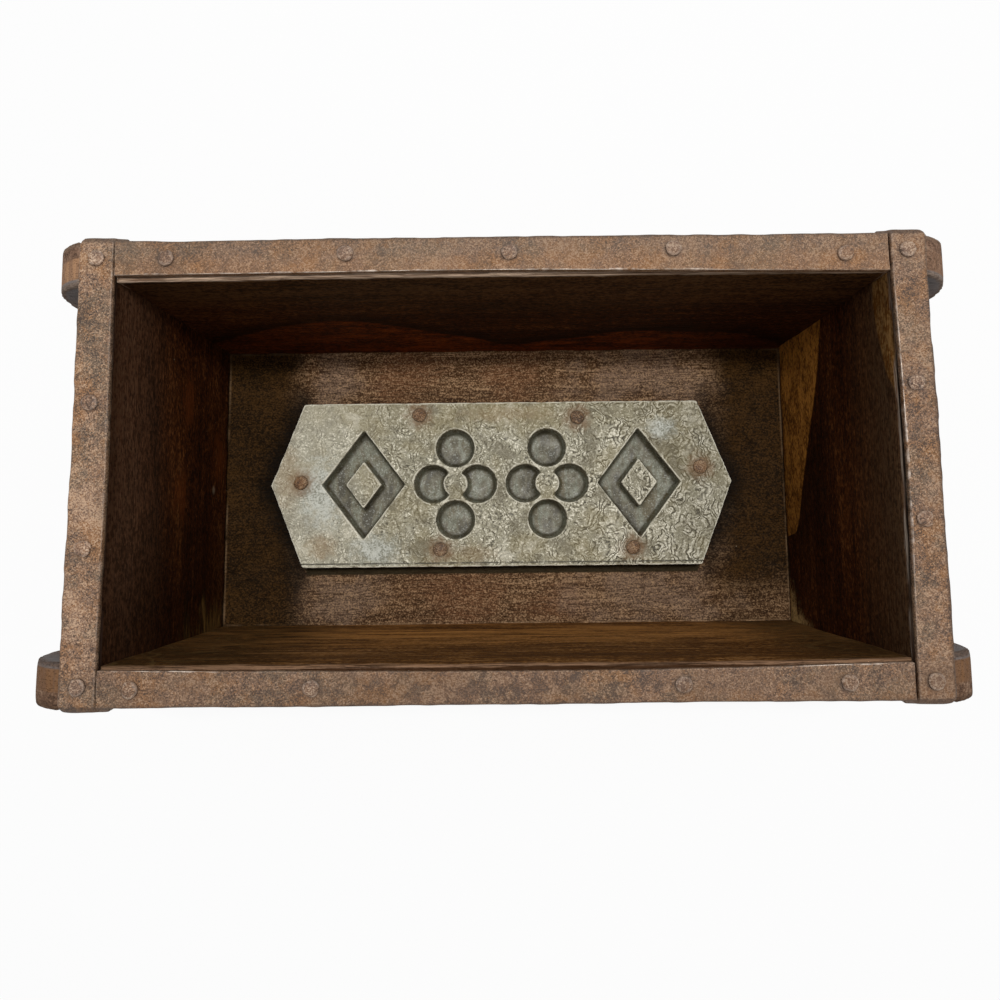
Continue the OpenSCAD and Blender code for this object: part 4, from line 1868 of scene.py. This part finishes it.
    def leg(
        self, end: End, side: Side, inner: float, thickness: float, foot_z: float, flare: float
    ) -> Piece:
        """Makes one leg, spread towards the middle at its top.

        Args:
            end: Which strap it belongs to.
            side: Which side board it lies on.
            inner: Distance of its inner edge from the middle.
            thickness: Its thickness.
            foot_z: Height of its foot.
            flare: How far it spreads at its top.

        Returns:
            The leg.
        """
        s = self.sizes
        near, far = sorted((end.value * inner, end.value * s.end_x))
        low_y, high_y = sorted(side.value * y for y in (s.outer_y - self.overlap, s.outer_y + thickness))
        knee_z = s.rim_z - self.flare_h
        leg = Bench.block("leg", (near, low_y, foot_z), (far, high_y, knee_z))
        Bench.pick(leg, "FACE", lambda centre, normal: normal.z > 0.9)
        Bench.extrude(0, 0, s.rim_z - knee_z)
        Bench.pick(leg, "VERT", lambda at: at.z > s.rim_z - MM and abs(at.x) < inner + MM)
        bpy.ops.transform.translate(value=(-end.value * flare, 0, 0))
        Bench.pick(leg, "FACE", lambda centre, normal: normal.z > 0.9)
        Bench.extrude(0, 0, self.tongue_h)
        return leg


@dataclass
class Nails:
    """Hand-made nails, copied from one model to every place that the frame gives."""

    effects: Effects
    nodes: list[str]
    sides: int = 20
    tip_l: float = 3 * MM
    head_profile: Line = ((1.0, 0.35), (0.93, 0.68), (0.74, 0.9), (0.4, 1.0))
    head_ratio: float = 0.42
    head_taper: float = 0.96
    shank_ratio: float = 0.42
    tip_ratio: float = 0.3
    lump: float = 1.7 * MM
    lump_share: float = 0.1
    lump_h: float = 0.18 * MM
    seed_step: float = 7.3
    turn_step: float = 1.7

    def build(self) -> None:
        """Makes and dresses every group of nails."""
        nowhere = ((0, 0, 0), (1, 1, 1))
        brown = IronFinish(
            "Nail iron",
            self.effects,
            base=srgb(136, 108, 90),
            bloom=srgb(216, 188, 162),
            orange=srgb(150, 112, 82),
            violet=srgb(120, 98, 84),
            cluster=nowhere,
            glints=(),
            rubbing=0.18,
            outer_edge_shade=0.0,
        ).build()
        red = IronFinish(
            "Red nail iron",
            self.effects,
            dark=srgb(44, 33, 24),
            base=srgb(114, 88, 64),
            bloom=srgb(186, 158, 126),
            orange=srgb(136, 96, 60),
            violet=srgb(88, 70, 54),
            rubbed=srgb(158, 134, 110),
            cluster=nowhere,
            glints=(),
        ).build()
        for node in self.nodes:
            on_plate = node == "frog_plate_nails"
            self.group(node, red if on_plate else brown, "rusty_nails" if on_plate else "strap_nails")

    def group(self, node: str, material: Material, slot: str) -> None:
        """Makes all the nails of one CAD node.

        Args:
            node: The CAD node.
            material: The nails' finish.
            slot: The record's slot.
        """
        boxes = Bench.loose_boxes(bpy.data.objects[node])
        parts = [self.nail(f"{node}_{index}", low, high, index) for index, (low, high) in enumerate(boxes)]
        piece = Bench.join(f"{node}_forged", parts)
        Bench.store(piece, Layer.EDGE, Bench.relief(piece, 2, 0.3 * MM))
        Bench.hand_over(piece, material, slot, node)

    def nail(self, name: str, low: Vector, high: Vector, index: int) -> Piece:
        """Makes one nail along the longest axis of its box, with its head outwards.

        Args:
            name: Name of the nail.
            low: Lowest corner of its box.
            high: Highest corner of its box.
            index: Its number, which varies the head.

        Returns:
            The nail.
        """
        size = high - low
        axis = max(range(3), key=lambda i: size[i])
        middle = (low + high) / 2
        up = 1 if middle[axis] > 0 else -1
        if axis == 2 and low.z < MM:
            up = -1
        head_r = min(size) / 2
        head_h = head_r * self.head_ratio
        foot_r = head_r * self.head_taper
        shank_r = head_r * self.shank_ratio
        rise = self.head_profile[0][1] * head_h
        nail = Bench.cone(name, self.sides, (foot_r, head_r), (0, 0, 0), rise)
        Bench.pick(nail, "FACE", lambda centre, normal: normal.z > 0.9)
        for (wide, _), (narrow, height) in zip(self.head_profile, self.head_profile[1:]):
            Bench.extrude(0, 0, height * head_h - rise)
            bpy.ops.transform.resize(value=(narrow / wide, narrow / wide, 1), center_override=(0, 0, 0))
            rise = height * head_h
        Bench.pick(nail, "FACE", lambda centre, normal: normal.z < -0.9)
        bpy.ops.mesh.inset(thickness=foot_r - shank_r)
        shank_l = size[axis] - head_h - self.tip_l
        Bench.extrude(0, 0, -shank_l)
        Bench.extrude(0, 0, -self.tip_l)
        bpy.ops.transform.resize(value=(self.tip_ratio, self.tip_ratio, 1), center_override=(0, 0, 0))
        Bench.clear()
        places = Bench.points(nail)
        lumps = clouds(places, self.lump, index * self.seed_step)
        on_head = places[:, 2] > -0.01 * MM
        places[:, :2] *= 1 + self.lump_share * (lumps * on_head)[:, None]
        places[:, 2] += self.lump_h * lumps * (places[:, 2] > 0.2 * MM)
        Bench.move_points(nail, places)
        outward = Vector([up if i == axis else 0 for i in range(3)])
        facing = outward.to_track_quat("Z", "Y").to_matrix().to_4x4()
        seat = middle.copy()
        seat[axis] = (high[axis] if up > 0 else low[axis]) - up * places[:, 2].max()
        turn = Matrix.Rotation(index * self.turn_step, 4, "Z")
        nail.data.transform(Matrix.Translation(seat) @ facing @ turn)
        return nail


@dataclass
class FrogPlate:
    """The cast plate on the floor, with its recessed motifs."""

    effects: Effects
    nails: list[Vector]
    voxel: float = 0.45 * MM
    most_faces: int = 195_000
    side_l: float = 175 * MM
    recess_d: float = 5.5 * MM
    pitch: float = 40.6 * MM
    motif_w: float = 37 * MM
    motif_h: float = 49 * MM
    draft: float = 1.3 * MM
    boss_ratio: float = 0.42
    petal_ratio: float = 0.235
    stain_r: float = 6.5 * MM
    petal_sides: int = 40
    boss_sides: int = 32
    soft_start: float = 0.9 * MM
    soft_reach: float = 1.5 * MM
    soft_rounds: int = 24

    def build(self) -> None:
        """Makes and dresses the plate."""
        low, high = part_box("frog_plate")
        middle = (low + high) / 2
        half = self.side_l / 2
        corners = (middle.x - half, low.y, low.z), (middle.x + half, high.y, high.z)
        plate = Bench.block("frog_plate_casting", *corners)
        for end in End:
            self.draw_point(plate, end, middle, high.x - middle.x - half)
        for index in range(4):
            top = (middle.x + (index - 1.5) * self.pitch, middle.y, high.z)
            if index in (0, 3):
                self.cut_diamond(plate, top)
            else:
                self.cut_flower(plate, top)
        Bench.refine(plate, self.voxel)
        self.soften_recesses(plate, middle, high.z)
        Bench.unsettle(plate, size=9 * MM, height=0.3 * MM)
        self.mark_stains(plate)
        Bench.wear_edges(plate, depth=0.3 * MM, size=4 * MM, rounds=4, reach=0.25 * MM)
        Bench.store(plate, Layer.HOLLOW, Bench.relief(plate, rounds=40, reach=0.8 * MM))
        Bench.thin_out(plate, self.most_faces)
        half_w = (high.y - middle.y) / MM
        finish = CastFinish("Cast plate", self.effects, high.z / MM, (middle.x / MM, middle.y / MM), half_w)
        Bench.hand_over(plate, finish.build(), "cast_plate", "frog_plate")

    def draw_point(self, plate: Piece, end: End, middle: Vector, reach: float) -> None:
        """Draws one end of the plate out to a point.

        Args:
            plate: The plate so far.
            end: Which end.
            middle: Centre of the plate.
            reach: How far the point stands out.
        """
        Bench.pick(plate, "FACE", lambda centre, normal: normal.x * end.value > 0.9)
        Bench.extrude(end.value * reach, 0, 0)
        bpy.ops.transform.resize(value=(1, 0, 1), center_override=middle)
        bpy.ops.mesh.select_all(action="SELECT")
        bpy.ops.mesh.remove_doubles(threshold=0.01 * MM)

    def frustum(self, corners: int, radius: float, base: Point, stretch: Stretch = (1, 1)) -> Piece:
        """Makes a cutter whose walls lean out by the casting's draft.

        Args:
            corners: Number of sides.
            radius: Radius at the plate's top.
            base: Centre of its floor.
            stretch: Stretch along X and Y.

        Returns:
            The cutter.
        """
        radii = (radius - self.draft, radius + self.draft * MM / self.recess_d)
        return Bench.cone("cutter", corners, radii, base, self.recess_d + MM, stretch)

    def boss(self, corners: int, radius: float, base: Point, stretch: Stretch = (1, 1)) -> Piece:
        """Makes the raised middle that a cutter leaves standing.

        Args:
            corners: Number of sides.
            radius: Radius at the plate's top.
            base: Centre of the recess's floor.
            stretch: Stretch along X and Y.

        Returns:
            The boss.
        """
        low = (base[0], base[1], base[2] - MM)
        radii = (radius + self.draft, radius - self.draft * MM / self.recess_d)
        return Bench.cone("boss", corners, radii, low, self.recess_d + 3 * MM, stretch)

    def cut_diamond(self, plate: Piece, top: Point) -> None:
        """Cuts a diamond recess round a raised diamond.

        Args:
            plate: The plate so far.
            top: Centre of the motif on the plate's top.
        """
        stretch = (self.motif_w / self.motif_h, 1)
        base = (top[0], top[1], top[2] - self.recess_d)
        cutter = self.frustum(4, self.motif_h / 2, base, stretch)
        Bench.combine(cutter, self.boss(4, self.motif_h / 2 * self.boss_ratio, base, stretch), "DIFFERENCE")
        Bench.combine(plate, cutter, "DIFFERENCE")

    def cut_flower(self, plate: Piece, top: Point) -> None:
        """Cuts four petals round a raised boss.

        Args:
            plate: The plate so far.
            top: Centre of the motif on the plate's top.
        """
        radius = self.motif_w * self.petal_ratio
        boss_r = self.motif_w * self.boss_ratio / 3
        base = (top[0], top[1], top[2] - self.recess_d)
        for step_x, step_y in ((1, 0), (-1, 0), (0, 1), (0, -1)):
            x = base[0] + step_x * (self.motif_w / 2 - radius)
            y = base[1] + step_y * (self.motif_h / 2 - radius)
            cutter = self.frustum(self.petal_sides, radius, (x, y, base[2]))
            Bench.combine(cutter, self.boss(self.boss_sides, boss_r, base), "DIFFERENCE")
            Bench.combine(plate, cutter, "DIFFERENCE")

    def soften_recesses(self, plate: Piece, middle: Vector, top_z: float) -> None:
        """Rounds the recesses' floors into their walls, as a wooden pattern leaves them.

        Args:
            plate: The plate.
            middle: Centre of the plate.
            top_z: Height of its top.
        """
        places = Bench.points(plate)
        depth = np.clip((top_z - places[:, 2] - self.soft_start) / self.soft_reach, 0, 1)
        inside = abs(places[:, 1] - middle.y) < self.motif_h / 2 + MM
        inside &= places[:, 2] > top_z - self.recess_d - MM
        inside &= abs(places[:, 0] - middle.x) < 2 * self.pitch
        group = plate.vertex_groups.new(name="recess")
        weights = depth * inside
        for level in (0.25, 0.5, 0.75, 1.0):
            chosen = np.nonzero((weights > level - 0.25) & (weights <= level))[0]
            group.add(chosen.tolist(), level, "REPLACE")
        Bench.apply(plate, "SMOOTH", factor=0.5, iterations=self.soft_rounds, vertex_group="recess")

    def mark_stains(self, plate: Piece) -> None:
        """Stores how strongly each nail has stained the plate round it.

        Args:
            plate: The plate.
        """
        places = Bench.points(plate)
        stain = np.zeros(len(places))
        for nail in self.nails:
            away = np.linalg.norm(places[:, :2] - np.array(nail)[:2], axis=1)
            stain = np.maximum(stain, np.exp(-((away / self.stain_r) ** 2)))
        Bench.store(plate, Layer.NAIL, stain)


@dataclass
class Studio:
    """Floor, lamp, sky and camera."""

    focal_px: float = 603.25
    frame_px: float = 1000.0
    centre_px: tuple[float, float] = (508.48, 484.71)
    camera_place: Point = (1.738 * MM, -22.064 * MM, 288.56 * MM)
    camera_turn_deg: Point = (4.61, 0.13, -0.60)
    sensor_mm: float = 36.0
    lamp_place: Point = (0.06, 0.24, 1.40)
    lamp_size: float = 0.22
    lamp_power: float = 13.5
    sky: float = 0.32
    floor_glow: float = 0.87
    floor_gap: float = 0.4 * MM

    def build(self) -> None:
        """Sets the whole studio up."""
        self.camera()
        self.floor()
        self.lamp()
        self.background()
        bpy.context.scene.view_settings.view_transform = "Standard"

    def camera(self) -> None:
        """Puts the camera where the photograph was taken from."""
        lens = bpy.data.cameras.new("camera")
        lens.sensor_width = self.sensor_mm
        lens.lens = self.focal_px / self.frame_px * self.sensor_mm
        lens.shift_x = 0.5 - self.centre_px[0] / self.frame_px
        lens.shift_y = self.centre_px[1] / self.frame_px - 0.5
        lens.clip_start = 0.01
        camera = bpy.data.objects.new("camera", lens)
        camera.location = self.camera_place
        camera.rotation_euler = [math.radians(angle) for angle in self.camera_turn_deg]
        bpy.context.scene.collection.objects.link(camera)
        bpy.context.scene.camera = camera

    @staticmethod
    def seen(g: Graph) -> Socket:
        """Returns 1 for rays that show the background: those from the camera, mirrors and glass."""
        path = g.add("LightPath").outputs
        mirrored = g.larger(path["Is Glossy Ray"], path["Is Transmission Ray"])
        return g.larger(path["Is Camera Ray"], mirrored)

    def floor(self) -> None:
        """Adds a pale floor that keeps a faint shadow of the mould."""
        Bench.clear()
        bpy.ops.mesh.primitive_plane_add(size=8, location=(0, 0, -self.floor_gap))
        floor = Bench.take("studio_floor")
        material = bpy.data.materials.new("Studio floor")
        g = Graph.start(material)
        matt = g.add("BsdfDiffuse", {"Color": (0.9, 0.9, 0.9)})
        white = g.add("Emission", {"Color": (1, 1, 1), "Strength": 1.0})
        glow = g.times(self.seen(g), self.floor_glow)
        mixed = g.add("MixShader", {0: glow, 1: matt.outputs[0], 2: white.outputs[0]})
        g.add("OutputMaterial", {0: mixed.outputs[0]})
        floor.data.materials.append(material)

    def lamp(self) -> None:
        """Hangs one soft lamp above the mould, a little to the rear."""
        light = bpy.data.lights.new("soft_lamp", "AREA")
        light.shape = "SQUARE"
        light.size = self.lamp_size
        light.energy = self.lamp_power
        lamp = bpy.data.objects.new("soft_lamp", light)
        lamp.location = self.lamp_place
        lamp.rotation_euler = Vector(self.lamp_place).to_track_quat("Z", "Y").to_euler()
        bpy.context.scene.collection.objects.link(lamp)

    def background(self) -> None:
        """Lights the scene from a grey sky that the camera sees as white."""
        world = bpy.data.worlds.new("studio")
        bpy.context.scene.world = world
        g = Graph.start(world)
        strength = g.lerp(self.seen(g), self.sky, 1.0)
        sky = g.add("Background", {"Color": (1, 1, 1), "Strength": strength})
        g.add("OutputWorld", {0: sky.outputs[0]})


def head_places(node: str) -> list[Vector]:
    """Returns the middle of each nail head of a CAD node whose heads are on top."""
    places = []
    for low, high in Bench.loose_boxes(bpy.data.objects[node]):
        middle = (low + high) / 2
        places.append(Vector((middle.x, middle.y, high.z)))
    return places


def main() -> None:
    """Builds the studio and every piece of the mould around the frame."""
    logging.basicConfig(level=logging.INFO, format="%(name)s: %(message)s")
    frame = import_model()
    Studio().build()
    sizes = Sizes.from_frame()
    effects = Effects()
    rim_nodes = [f"{wall.name.lower()}_strap_nails" for wall in (*Side, *End)]
    rim_nails = [place for node in rim_nodes for place in head_places(node)]
    Boards(sizes, effects).build()
    Straps(sizes, effects, rim_nails).build()
    FrogPlate(effects, head_places("frog_plate_nails")).build()
    Nails(effects, [node for node in sorted(frame["nodes"]) if node.endswith("_nails")]).build()


if __name__ == "__main__":
    main()
